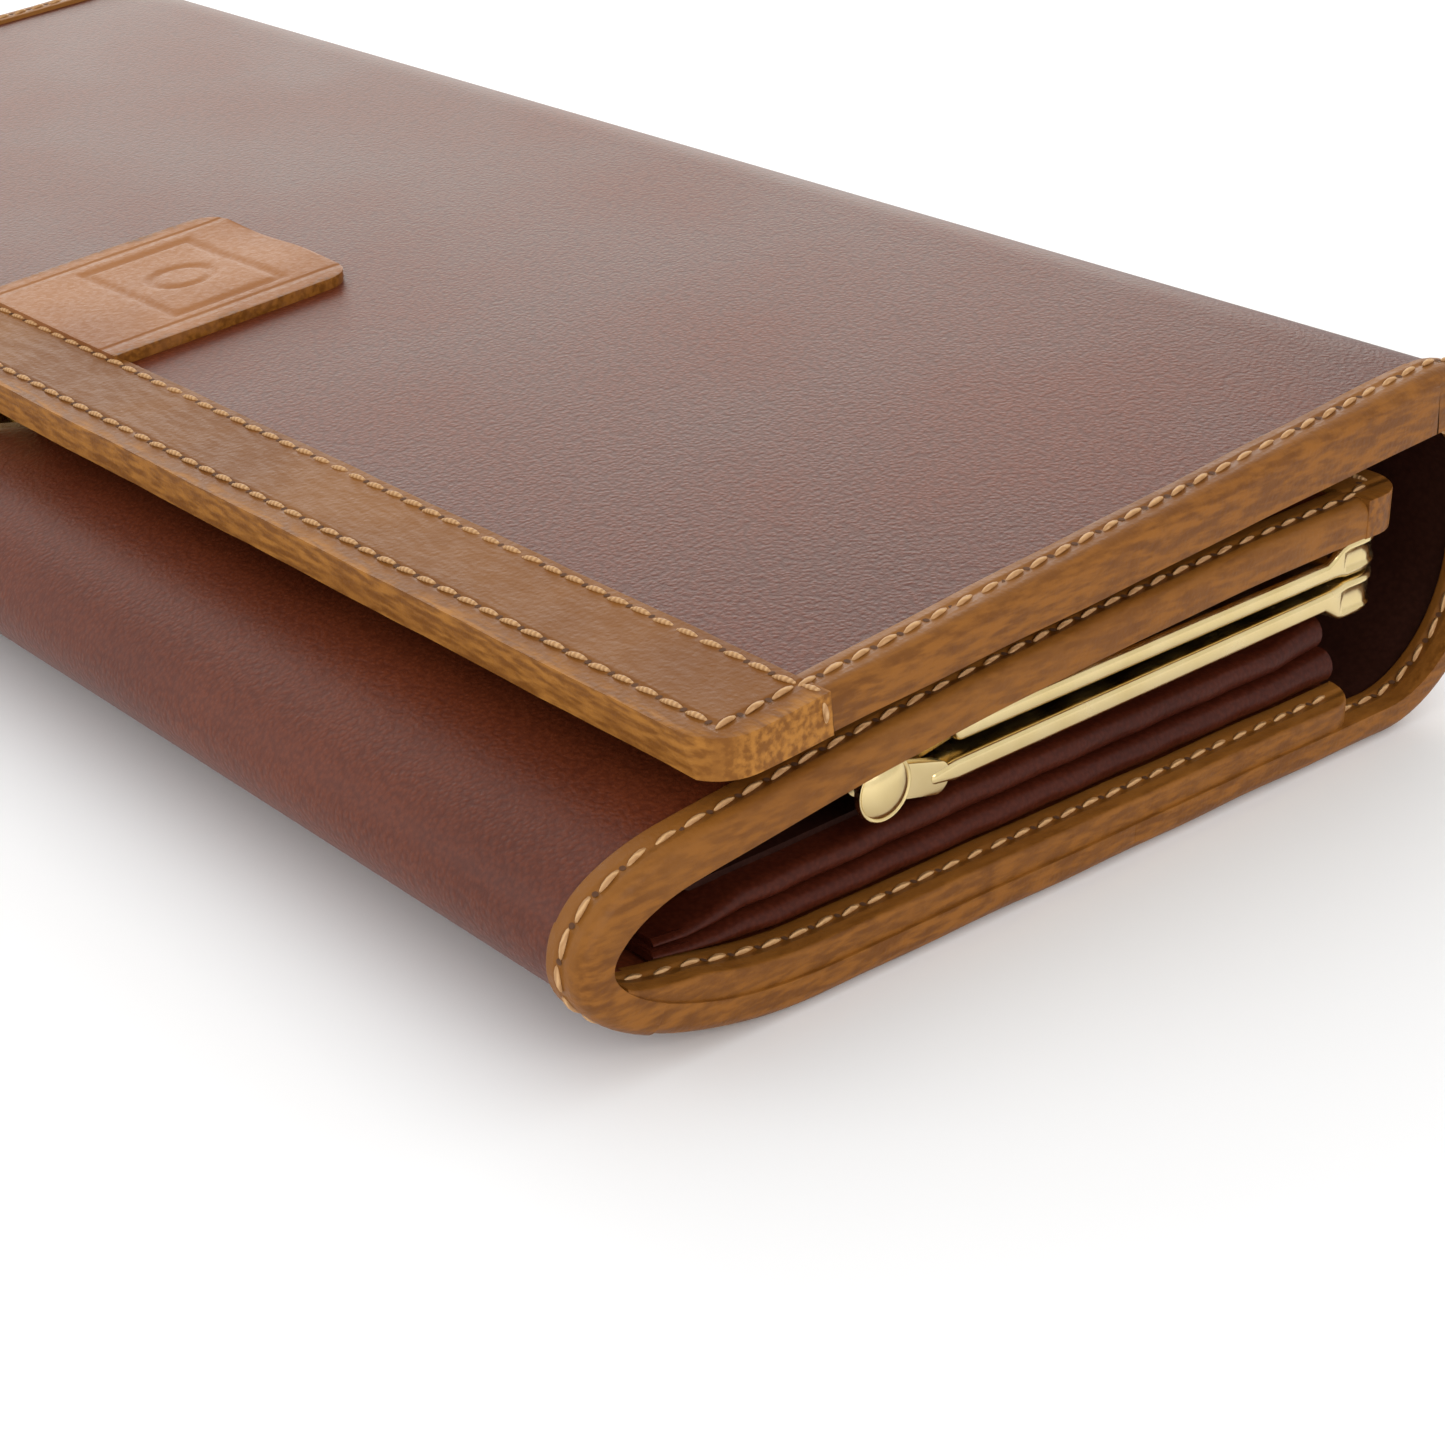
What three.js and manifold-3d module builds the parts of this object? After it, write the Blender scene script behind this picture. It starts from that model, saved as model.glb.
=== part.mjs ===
// Long wallet with a wrap-over flap, bound edges and a framed coin purse. Millimetres, +Z up.
// X runs along the length, Y from the front fold (-) to the spine (+), Z up from the table.
// The wallet lies on its back: outer shell below, coin purse inside, front panel and flap on top.
import * as THREE from "three";
import { mergeVertices } from "three/addons/utils/BufferGeometryUtils.js";
import Module from "manifold-3d";

const wasm = await Module();
wasm.setup();

// Overall sizes
const LENGTH = 190; // along X, over the side bindings
const DEPTH = 89.4; // along Y, front fold to spine
const HEIGHT = 28.4; // along Z, table to the top of the spine
const NOSE_SHARE = 0.3063; // height of the foremost line of the front fold, share of HEIGHT
const NOSE_RUN = 20.6; // length over which the front fold lifts off the table
const LOWER_RADIUS = 12; // spine, lower outside radius
const UPPER_RADIUS = 9; // spine, upper outside radius
const FLAP_FALL = 0.2785; // fall of the flap from the spine to its free edge, share of HEIGHT
const FLAP_SETBACK = 10.4; // flap's free edge, behind the front fold
const FLAP_CORNER = 3; // plan radius of the flap's front corners

// Shell thicknesses
const SHELL = 2.3; // bound edge of back and spine
const FLAP_EDGE = 2.55; // bound edge of the flap at its free edge
const FLAP_ROOT = 4.7; // flap thickness at the spine
const PANEL = 2.8; // bound edge of the front panel
const LEAF = 1.7; // bound edge of the inner back leaf
const HIDE = 0.6; // outer leather
const WALL = 0.5; // binding leather over each face
const END_WALL = 0.9; // binding leather over the cut edge
const FIT = 0.15; // clearance between layers
const SEAM = 0.3; // gap between pieces that butt
const CREASE_GAP = 0.25; // cut back from each crease line, where two bodies meet

// Bindings
const BIND = 3.2; // width of the side bindings
const BAND = 9.2; // width of the flap's front band
const MOUTH_BAND = 5; // width of the front panel's mouth binding

// Front panel and inner leaf
const MOUTH_SETBACK = 11.4; // front panel's mouth edge, in front of the spine
const PANEL_INSET = 0.5; // front panel is this much shorter than the flap at each end
const PANEL_CORNER = 5;
const KNEE_RUN = 8.7; // where the front panel leaves the front fold, behind the fold
const KNEE_GAP = 3.1; // front panel below the flap's free edge
const MOUTH_GAP = 3.49; // front panel's mouth below the flap
const PANEL_BOW = [0.332, 0.693]; // control points of the panel's curve, share of its run
const PANEL_SWELL = 3.6; // how much the panel's curve bows up behind the knee
const LEAF_SETBACK = 7.5; // inner leaf's front edge, behind the front fold
const LEAF_SHORT = 14.7; // inner leaf's other edge, in front of the spine
const LEAF_INSET = 0.4;
const LEAF_CORNER = 4;

// Label tab on the flap
const TAB_WIDTH = 22.8;
const TAB_LENGTH = 22.6;
const TAB_THICK = 1.2;
const TAB_CORNER = 2.2;

// Press stud under the flap
const STUD_SETBACK = 5.7; // centre of the stud behind the flap's free edge
const STUD_RADIUS = 4.2;
const STUD_THICK = 0.5;
const POST_RADIUS = 1.3;
const POST_HEIGHT = 1.5;
const SOCKET_RADIUS = 4.8;
const SOCKET_THICK = 1.1;
const SOCKET_PLAY = 0.6; // socket's bore larger in radius than the post

// Coin purse frame
const HINGE_SETBACK = 26.5; // frame hinge behind the front fold
const FRAME_INSET = 2.6; // frame's arms inside the ends of the wallet
const ARM_DEPTH = 2.8; // frame rail, along X
const RAIL = 1.6; // frame rail, along Z
const ARM_RUN = 7.2; // from the hinge to where the rails begin
const BAR_SETBACK = 10.5; // outer face of the mouth bars, in front of the spine
const CORNER_RUN = 6.2; // length of the flared corner brackets
const FLARE = 2; // length over which a rail widens into its bracket
const CORNER_HEIGHT = 2.6;
const LOWER_RAIL = [-1.3, -0.4, -0.8]; // rail centre above the hinge: at start, corner and bar
const UPPER_RAIL = [1.4, 2, 2.5];
const FRAME_CORNER = 4; // plan radius of the frame's corners
const LUG = 0.8; // thickness of the hinge lugs
const LUG_WIDTH = 2.6;
const PIN_RADIUS = 0.8;
const PIN_FIT = 0.15;
const PIN_HEAD = 0.5; // thickness of the rivet's inner head
const CAP_RADIUS = 2.3;
const CAP_HEIGHT = 1.1;
const CAP_GAP = 0.21; // rivet cap below the front panel
const KISS_RADIUS = 2.5; // kiss-lock balls
const KISS_APART = 0.6; // gap between the two balls
const KISS_REACH = 3.4; // ball centres behind the mouth bars
const KISS_RISE = 0.9; // ball centres above the hinge
const NECK_RADIUS = 0.9;

// Coin purse leather
const PURSE_HIDE = 0.5;
const PURSE_SETBACK = 13.7; // purse's bottom behind the front fold
const PURSE_LOWER = [0.632, 0.691, 0.782, 0.855]; // share of the way from leaf to frame
const PURSE_UPPER = [0.515, 0.667, 0.878, 0.84]; // share of the way from leaf to front panel
const PURSE_RUN = [7, 10.2, 10.2]; // after the bottom, after the hinge, before the mouth bars
const PURSE_SPLIT = 1.2; // gap at the hinge between the moving sheet and the purse's bottom

// Side gussets
const GUSSET_INSET = 3.4; // outermost X of the accordion folds, inside the ends of the wallet
const GUSSET_STEP = 0.6; // upper fold inside the lower fold
const GUSSET_SETBACK = 4.8; // end of the lower fold, in front of the mouth bars' outer face
const GUSSET_DEEP = 6;
const PURSE_GUSSET_DEEP = 4;
const PURSE_GUSSET_INSET = 1.4; // purse gussets inside the ends of the purse leather
const GUSSET_WALL = 0.5;

const HALF = LENGTH / 2;
const NOSE_Y = -DEPTH / 2;
const BACK_Y = DEPTH / 2;
const NOSE_HEIGHT = HEIGHT * NOSE_SHARE;
const LOWER_ARC = new THREE.Vector2(BACK_Y - LOWER_RADIUS, LOWER_RADIUS);
const UPPER_ARC = new THREE.Vector2(BACK_Y - UPPER_RADIUS, HEIGHT - UPPER_RADIUS);
const FLAP_FRONT = NOSE_Y + FLAP_SETBACK;
const FLAP_SLOPE = (HEIGHT * FLAP_FALL) / (UPPER_ARC.x - FLAP_FRONT);
const SLOPE_ANGLE = Math.atan(FLAP_SLOPE);
const PANEL_END = BACK_Y - MOUTH_SETBACK;
const LEAF_START = NOSE_Y + LEAF_SETBACK;
const LEAF_END = BACK_Y - LEAF_SHORT;
const STUD_Y = FLAP_FRONT + STUD_SETBACK;
const HINGE_Y = NOSE_Y + HINGE_SETBACK;
const FRAME_HALF = HALF - FRAME_INSET;
const ARM_START = HINGE_Y + ARM_RUN;
const BAR_END = BACK_Y - BAR_SETBACK;
const CORNER_START = BAR_END - CORNER_RUN;
const KISS_Y = BAR_END + KISS_REACH;
const KISS_OFFSET = KISS_RADIUS + KISS_APART / 2; // each ball's offset along X

const TAN = 0xa8723f;
const BROWN = 0x7a4436;
const DARK = 0x4a2a22;
const BRASS = 0xd9c48a;

const group = new THREE.Group();

// ---------- solids ----------

function toSolid(geometry) {
  const flat = geometry.index ? geometry.toNonIndexed() : geometry;
  const bare = new THREE.BufferGeometry();
  bare.setAttribute("position", flat.getAttribute("position"));
  const merged = mergeVertices(bare, 1e-4);
  const mesh = new wasm.Mesh({
    numProp: 3,
    vertProperties: merged.attributes.position.array,
    triVerts: new Uint32Array(merged.index.array),
  });
  return new wasm.Manifold(mesh);
}

function toGeometry(solid) {
  const mesh = solid.getMesh();
  const geometry = new THREE.BufferGeometry();
  geometry.setAttribute("position", new THREE.BufferAttribute(mesh.vertProperties, 3));
  geometry.setIndex(new THREE.BufferAttribute(mesh.triVerts, 1));
  geometry.computeVertexNormals();
  return geometry;
}

function add(name, solid, color, roughness, metalness) {
  const material = new THREE.MeshStandardMaterial({ color, roughness, metalness });
  const mesh = new THREE.Mesh(toGeometry(solid), material);
  mesh.name = name;
  group.add(mesh);
}

const addLeather = (name, solid, color) => add(name, solid, color, 0.6, 0);
const addBrass = (name, solid) => add(name, solid, BRASS, 0.25, 1);

// A polygon in the (Y, Z) plane carried along X.
function side(points, x0, x1) {
  const shape = new THREE.Shape(points);
  const geometry = new THREE.ExtrudeGeometry(shape, { depth: x1 - x0, bevelEnabled: false });
  const turn = new THREE.Matrix4().makeBasis(
    new THREE.Vector3(0, 1, 0),
    new THREE.Vector3(0, 0, 1),
    new THREE.Vector3(1, 0, 0),
  );
  geometry.applyMatrix4(turn);
  geometry.translate(x0, 0, 0);
  return toSolid(geometry);
}

// A plan shape in (X, Y) carried from z0 to z1.
function plan(shape, z0, z1) {
  const options = { depth: z1 - z0, bevelEnabled: false, curveSegments: 5 };
  const geometry = new THREE.ExtrudeGeometry(shape, options);
  geometry.translate(0, 0, z0);
  return toSolid(geometry);
}

function box(x0, x1, y0, y1, z0, z1) {
  const geometry = new THREE.BoxGeometry(x1 - x0, y1 - y0, z1 - z0);
  geometry.translate((x0 + x1) / 2, (y0 + y1) / 2, (z0 + z1) / 2);
  return toSolid(geometry);
}

// A cylinder or turned profile whose axis is moved to point along X.
function turnedX(points, x, y, z, direction) {
  const geometry = new THREE.LatheGeometry(points, 20);
  geometry.rotateZ(direction > 0 ? -Math.PI / 2 : Math.PI / 2);
  geometry.translate(x, y, z);
  return toSolid(geometry);
}

// A plan outline with two rounded corners at the end y1; the other end is square.
function tongue(halfWidth, y0, y1, radius) {
  const s = Math.sign(y1 - y0);
  const shape = new THREE.Shape();
  shape.moveTo(-halfWidth, y0);
  shape.lineTo(halfWidth, y0);
  shape.lineTo(halfWidth, y1 - s * radius);
  shape.quadraticCurveTo(halfWidth, y1, halfWidth - radius, y1);
  shape.lineTo(-halfWidth + radius, y1);
  shape.quadraticCurveTo(-halfWidth, y1, -halfWidth, y1 - s * radius);
  return shape;
}

const mirror = (solid) => solid.mirror([1, 0, 0]);

// ---------- profiles ----------

function arc(centre, radius, from, to, steps) {
  const points = [];
  for (let i = 0; i <= steps; i++) {
    const a = from + ((to - from) * i) / steps;
    points.push(new THREE.Vector2(centre.x + radius * Math.cos(a), centre.y + radius * Math.sin(a)));
  }
  return points;
}

function bezier(a, b, c, d, steps) {
  const v = (p) => new THREE.Vector2(p[0], p[1]);
  return new THREE.CubicBezierCurve(v(a), v(b), v(c), v(d)).getPoints(steps);
}

function joinPaths(...paths) {
  const points = [];
  for (const path of paths) {
    for (const p of path) {
      const last = points[points.length - 1];
      if (!last || last.distanceTo(p) > 1e-3) points.push(p);
    }
  }
  return points;
}

// Cuts a length off each end of a path.
function trimPath(path, start, end) {
  const cut = (points, length) => {
    const rest = points.slice();
    let left = length;
    while (left > 0) {
      const step = rest[0].distanceTo(rest[1]);
      if (step > left) {
        rest[0] = rest[0].clone().lerp(rest[1], left / step);
        return rest;
      }
      left -= step;
      rest.shift();
    }
    return rest;
  };
  return cut(cut(path, start).reverse(), end).reverse();
}

// The part of a path behind a given Y; the first step is kept long enough to have a direction.
function behind(path, y) {
  const rest = path.filter((p) => p.x > y + FIT * 2);
  return joinPaths([new THREE.Vector2(y, heightAt(path, y))], rest);
}

function extendPath(path, length) {
  const beyond = (end, next) => end.clone().add(end.clone().sub(next).setLength(length));
  const last = path.length - 1;
  return [beyond(path[0], path[1]), ...path, beyond(path[last], path[last - 1])];
}

// Left-hand offset of a path, by a distance that may change along it.
function offset(path, start, end = start) {
  return path.map((p, i) => {
    const before = path[Math.max(i - 1, 0)];
    const after = path[Math.min(i + 1, path.length - 1)];
    const tangent = after.clone().sub(before).normalize();
    const d = start + ((end - start) * (p.x - path[0].x)) / (path[path.length - 1].x - path[0].x);
    return new THREE.Vector2(p.x - tangent.y * d, p.y + tangent.x * d);
  });
}

function ribbon(path, outer, inner, innerEnd = inner, outerEnd = outer) {
  return [...offset(path, outer, outerEnd), ...offset(path, inner, innerEnd).reverse()];
}

const noseTip = [NOSE_Y, NOSE_HEIGHT];
const quarter = Math.PI / 4;
const lowerNose = bezier(
  noseTip,
  [NOSE_Y, NOSE_HEIGHT * 0.42],
  [NOSE_Y + NOSE_RUN * 0.5, 0],
  [NOSE_Y + NOSE_RUN, 0],
  18,
);
const backPath = joinPaths(lowerNose, arc(LOWER_ARC, LOWER_RADIUS, -2 * quarter, -quarter, 7));
const spinePath = joinPaths(
  arc(LOWER_ARC, LOWER_RADIUS, -quarter, 0, 7),
  arc(UPPER_ARC, UPPER_RADIUS, 0, quarter, 7),
);
const flapArc = arc(UPPER_ARC, UPPER_RADIUS, quarter, 2 * quarter + SLOPE_ANGLE, 7);
const flapStart = flapArc[flapArc.length - 1];
const flapFrontZ = flapStart.y - (flapStart.x - FLAP_FRONT) * FLAP_SLOPE;
const flapPath = joinPaths(flapArc, [new THREE.Vector2(FLAP_FRONT, flapFrontZ)]);
const mouthZ = flapFrontZ + (PANEL_END - FLAP_FRONT) * FLAP_SLOPE - FLAP_ROOT - MOUTH_GAP;
const kneeZ = flapFrontZ - FLAP_EDGE - KNEE_GAP;
const kneeRise = kneeZ - NOSE_HEIGHT;
const panelKnee = [NOSE_Y + KNEE_RUN, kneeZ];
const panelTop = [PANEL_END, mouthZ];
const panelRun = PANEL_END - panelKnee[0];
const foldPath = bezier(
  noseTip,
  [NOSE_Y, NOSE_HEIGHT + kneeRise * 0.565],
  [NOSE_Y + kneeRise * 0.677, NOSE_HEIGHT + kneeRise * 0.887],
  panelKnee,
  14,
);
const panelPath = bezier(
  panelKnee,
  [panelKnee[0] + panelRun * PANEL_BOW[0], kneeZ + PANEL_SWELL],
  [panelKnee[0] + panelRun * PANEL_BOW[1], mouthZ - 0.1],
  panelTop,
  12,
);
const frontPath = joinPaths(foldPath, panelPath).reverse();

// Room for the coin purse, between the inner leaf and the front panel.
const leafTop = offset(backPath, SHELL + FIT + LEAF + FIT);
const underPanel = offset(frontPath, PANEL + FIT);

function heightAt(path, y) {
  for (let i = 1; i < path.length; i++) {
    const a = path[i - 1];
    const b = path[i];
    if ((a.x - y) * (b.x - y) <= 0) return a.y + ((b.y - a.y) * (y - a.x)) / (b.x - a.x);
  }
  return NaN;
}

const HINGE_Z = heightAt(underPanel, HINGE_Y) + FIT - CAP_RADIUS - CAP_GAP;
const railBottom = HINGE_Z + LOWER_RAIL[0] - RAIL / 2;
const underFrame = [new THREE.Vector2(NOSE_Y, railBottom), new THREE.Vector2(BACK_Y, railBottom)];

// A height at a share of the way from the inner leaf up to a ceiling.
function inRoom(y, share, ceiling) {
  const low = heightAt(leafTop, y);
  return low + share * (heightAt(ceiling, y) - low);
}

const PURSE_START = NOSE_Y + PURSE_SETBACK;
const PURSE_END = BAR_END - ARM_DEPTH - SEAM / 2;
const purseStations = [
  PURSE_START,
  PURSE_START + PURSE_RUN[0],
  HINGE_Y + PURSE_RUN[1],
  BAR_END - PURSE_RUN[2],
  PURSE_END,
];

// ---------- bound panels ----------

// Level cuts on each side of the crease at the front fold.
const wide = HALF + 5;
const foldEnd = NOSE_Y + NOSE_RUN;
const aboveNose = box(-wide, wide, -DEPTH, DEPTH, NOSE_HEIGHT + CREASE_GAP, 2 * HEIGHT);
const belowNose = side(
  [
    new THREE.Vector2(-DEPTH, -HEIGHT),
    new THREE.Vector2(DEPTH, -HEIGHT),
    new THREE.Vector2(DEPTH, 2 * HEIGHT),
    new THREE.Vector2(foldEnd, 2 * HEIGHT),
    new THREE.Vector2(foldEnd, NOSE_HEIGHT - CREASE_GAP),
    new THREE.Vector2(-DEPTH, NOSE_HEIGHT - CREASE_GAP),
  ],
  -wide,
  wide,
);
const everywhere = box(-wide, wide, -DEPTH, DEPTH, -HEIGHT, 2 * HEIGHT);

// Layers of a bound panel, measured inward from the outside face.
const hideOuter = WALL + FIT;
const hideInner = hideOuter + HIDE;
const liningOuter = hideInner + FIT;

function capPlan(outline, edge) {
  return plan(outline(edge), -HEIGHT, 2 * HEIGHT);
}

// A side binding: a folded strip round the panel's edge, open toward the middle.
function sideBinding(path, thickness, thicknessEnd, outline, keep) {
  const body = side(ribbon(path, 0, thickness, thicknessEnd), HALF - 2 * BIND, HALF);
  const end = capPlan(outline, 0);
  const strip = body.intersect(end).intersect(keep);
  return strip.subtract(grooveFor(path, thickness, thicknessEnd, outline));
}

// The groove runs past both ends of the strip, so the strip is open there.
function grooveFor(path, thickness, thicknessEnd, outline) {
  const core = ribbon(extendPath(path, 1), WALL, thickness - WALL, thicknessEnd - WALL);
  return side(core, -wide, wide).intersect(capPlan(outline, END_WALL));
}

function layer(path, outer, inner, innerEnd, outline) {
  const body = side(ribbon(path, outer, inner, innerEnd), -HALF, HALF);
  return body.intersect(capPlan(outline, END_WALL + FIT));
}

// A panel cut to a zone; its bindings are cut to a second zone inside the first.
function addBoundPanel(prefix, path, thickness, thicknessEnd, outline, zone, keep) {
  const hideSolid = layer(path, hideOuter, hideInner, hideInner, outline);
  const deep = thickness - WALL - FIT;
  const deepEnd = thicknessEnd - WALL - FIT;
  const liningSolid = layer(path, liningOuter, deep, deepEnd, outline);
  addLeather(prefix + "_leather", hideSolid.intersect(zone), BROWN);
  addLeather(prefix + "_lining", liningSolid.intersect(zone), DARK);
  const strip = sideBinding(path, thickness, thicknessEnd, outline, keep).intersect(zone);
  addLeather(prefix + "_binding_right", strip, TAN);
  addLeather(prefix + "_binding_left", mirror(strip), TAN);
}

const straightOutline = (edge) => tongue(HALF - edge, -DEPTH, DEPTH, 0.01);
const flapOutline = (edge) =>
  tongue(HALF - edge, DEPTH, FLAP_FRONT + edge, FLAP_CORNER - edge / 2);
const panelOutline = (edge) =>
  tongue(HALF - PANEL_INSET - edge, -DEPTH, PANEL_END - edge, PANEL_CORNER - edge / 2);
const leafOutline = (edge) =>
  tongue(HALF - LEAF_INSET - edge, LEAF_START, LEAF_END - edge, LEAF_CORNER - edge / 2);
const sideZone = (x, y0, y1) => box(x, HALF + 1, y0, y1, -HEIGHT, 2 * HEIGHT);
const bandZone = (y0, y1) => box(-wide, wide, y0, y1, -HEIGHT, 2 * HEIGHT);

function addShell() {
  const back = trimPath(backPath, 0, CREASE_GAP);
  const keep = sideZone(HALF - BIND, -DEPTH, DEPTH);
  addBoundPanel("back", back, SHELL, SHELL, straightOutline, belowNose, keep);
  const spine = trimPath(spinePath, CREASE_GAP, CREASE_GAP);
  addBoundPanel("spine", spine, SHELL, SHELL, straightOutline, everywhere, keep);
}

function addFlap() {
  const path = trimPath(flapPath, CREASE_GAP, 0);
  const keep = sideZone(HALF - BIND, FLAP_FRONT + BAND + SEAM, DEPTH);
  addBoundPanel("flap", path, FLAP_ROOT, FLAP_EDGE, flapOutline, everywhere, keep);
  const body = side(ribbon(path, 0, FLAP_ROOT, FLAP_EDGE), -HALF, HALF);
  const zone = bandZone(FLAP_FRONT - 1, FLAP_FRONT + BAND);
  const groove = grooveFor(path, FLAP_ROOT, FLAP_EDGE, flapOutline);
  const band = body.intersect(capPlan(flapOutline, 0)).intersect(zone).subtract(groove);
  addLeather("flap_front_band", band, TAN);
}

function addFrontPanel() {
  const keep = sideZone(HALF - PANEL_INSET - BIND, -DEPTH, PANEL_END - MOUTH_BAND - SEAM);
  addBoundPanel("front", frontPath, PANEL, PANEL, panelOutline, aboveNose, keep);
  const body = side(ribbon(frontPath, 0, PANEL), -HALF, HALF);
  const zone = bandZone(PANEL_END - MOUTH_BAND, PANEL_END + 1);
  const groove = grooveFor(frontPath, PANEL, PANEL, panelOutline);
  const band = body.intersect(capPlan(panelOutline, 0)).intersect(zone).subtract(groove);
  addLeather("front_mouth_binding", band, TAN);
}

// The inner leaf lies on the back's lining; its binding covers both ends.
function addLeaf() {
  const underLeaf = behind(trimPath(backPath, 0, CREASE_GAP), LEAF_START - 1.3 * LEAF);
  const path = offset(underLeaf, SHELL + FIT);
  const start = bandZone(LEAF_START + SEAM, DEPTH);
  const core = side(ribbon(path, WALL + FIT, LEAF - WALL - FIT), -HALF, HALF);
  const sheet = core.intersect(capPlan(leafOutline, END_WALL + FIT)).intersect(start);
  addLeather("leaf_panel", sheet, BROWN);
  const keep = sideZone(HALF - LEAF_INSET - BIND, LEAF_START, DEPTH);
  const strip = sideBinding(path, LEAF, LEAF, leafOutline, keep);
  addLeather("leaf_binding_right", strip, TAN);
  addLeather("leaf_binding_left", mirror(strip), TAN);
}

// ---------- flap details ----------

function addTab() {
  const tilt = new THREE.Matrix4().makeRotationX(SLOPE_ANGLE);
  const start = FLAP_FRONT + BAND + SEAM;
  const surface = flapFrontZ - hideOuter + (start - FLAP_FRONT) * FLAP_SLOPE;
  const outline = tongue(TAB_WIDTH / 2, 0, TAB_LENGTH, TAB_CORNER);
  const options = { depth: TAB_THICK, bevelEnabled: false, curveSegments: 6 };
  const geometry = new THREE.ExtrudeGeometry(outline, options);
  geometry.translate(0, 0, FIT);
  geometry.applyMatrix4(tilt);
  geometry.translate(0, start, surface);
  addLeather("label_tab", toSolid(geometry), TAN);
}

// A turned piece standing on a sloping surface.
function turnedZ(profile, y, z, tilt) {
  const geometry = new THREE.LatheGeometry(profile, 20);
  geometry.rotateX(Math.PI / 2);
  geometry.rotateX(tilt);
  geometry.translate(0, y, z);
  return toSolid(geometry);
}

const profile = (pairs) => pairs.map(([r, h]) => new THREE.Vector2(r, h));

function addPressStud() {
  const slopeOf = (path) => (heightAt(path, STUD_Y + 3) - heightAt(path, STUD_Y - 3)) / 6;
  const panelTilt = Math.atan(slopeOf(frontPath));
  const panelSurface = heightAt(frontPath, STUD_Y) - hideOuter;
  const stud = profile([
    [0, FIT],
    [STUD_RADIUS, FIT],
    [STUD_RADIUS, FIT + STUD_THICK],
    [POST_RADIUS, FIT + STUD_THICK],
    [POST_RADIUS, FIT + STUD_THICK + POST_HEIGHT],
    [0, FIT + STUD_THICK + POST_HEIGHT],
  ]);
  addBrass("snap_stud", turnedZ(stud, STUD_Y, panelSurface, panelTilt));

  const under = offset(flapPath, FLAP_ROOT, FLAP_EDGE);
  const flapTilt = Math.atan(slopeOf(under));
  const bore = POST_RADIUS + SOCKET_PLAY;
  const socket = profile([
    [bore, -FIT],
    [bore, -FIT - SOCKET_THICK],
    [SOCKET_RADIUS, -FIT - SOCKET_THICK],
    [SOCKET_RADIUS, -FIT],
    [bore, -FIT],
  ]);
  addBrass("snap_socket", turnedZ(socket, STUD_Y, heightAt(under, STUD_Y), flapTilt));
}

// ---------- coin purse ----------

// U-shaped plan of the frame, open toward the front fold.
function frameRing() {
  const outer = tongue(FRAME_HALF, ARM_START, BAR_END, FRAME_CORNER);
  const inner = tongue(
    FRAME_HALF - ARM_DEPTH,
    ARM_START - 10,
    BAR_END - ARM_DEPTH,
    FRAME_CORNER - ARM_DEPTH / 2,
  );
  return plan(outer, -HEIGHT, 2 * HEIGHT).subtract(plan(inner, -2 * HEIGHT, 3 * HEIGHT));
}

function railProfile(stations) {
  const [zStart, zCorner, zBar] = stations.map((z) => HINGE_Z + z);
  const r = RAIL / 2;
  const c = CORNER_HEIGHT / 2;
  return [
    new THREE.Vector2(ARM_START, zStart - r),
    new THREE.Vector2(CORNER_START, zCorner - r),
    new THREE.Vector2(CORNER_START + FLARE, zBar - c),
    new THREE.Vector2(BAR_END, zBar - c),
    new THREE.Vector2(BAR_END, zBar + c),
    new THREE.Vector2(CORNER_START + FLARE, zBar + c),
    new THREE.Vector2(CORNER_START, zCorner + r),
    new THREE.Vector2(ARM_START, zStart + r),
  ];
}

// Flat lug from the end of a rail to the hinge, with the hinge hole.
function lug(rise, x) {
  const reach = new THREE.Vector2(ARM_RUN + 1, rise);
  const angle = Math.atan2(reach.y, reach.x);
  const shape = new THREE.Shape();
  shape.absarc(0, 0, LUG_WIDTH / 2, Math.PI / 2, -Math.PI / 2, false);
  shape.lineTo(reach.length(), -RAIL / 2);
  shape.lineTo(reach.length(), RAIL / 2);
  const hole = new THREE.Path();
  hole.absarc(0, 0, PIN_RADIUS + PIN_FIT, 0, 2 * Math.PI, true);
  shape.holes.push(hole);
  const options = { depth: LUG, bevelEnabled: false, curveSegments: 16 };
  const geometry = new THREE.ExtrudeGeometry(shape, options);
  const turn = new THREE.Matrix4().makeBasis(
    new THREE.Vector3(0, 1, 0),
    new THREE.Vector3(0, 0, 1),
    new THREE.Vector3(1, 0, 0),
  );
  geometry.rotateZ(angle);
  geometry.applyMatrix4(turn);
  geometry.translate(x, HINGE_Y, HINGE_Z);
  return toSolid(geometry);
}

function frameHalf(stations, lugX) {
  const rails = side(railProfile(stations), -FRAME_HALF, FRAME_HALF).intersect(frameRing());
  const rightLug = lug(stations[0], lugX);
  return rails.add(rightLug).add(mirror(rightLug));
}

// Ball clasp: a ball on a short neck that springs from the mouth bar.
function kissBall(side, barRise) {
  const z = HINGE_Z + barRise;
  const ball = new THREE.SphereGeometry(KISS_RADIUS, 20, 12);
  ball.translate(side * KISS_OFFSET, KISS_Y, HINGE_Z + KISS_RISE);
  const length = KISS_Y - BAR_END - FIT;
  const neck = new THREE.CylinderGeometry(NECK_RADIUS, NECK_RADIUS, length, 14);
  neck.translate(side * KISS_OFFSET, KISS_Y - length / 2, z);
  return toSolid(ball).add(toSolid(neck));
}

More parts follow.
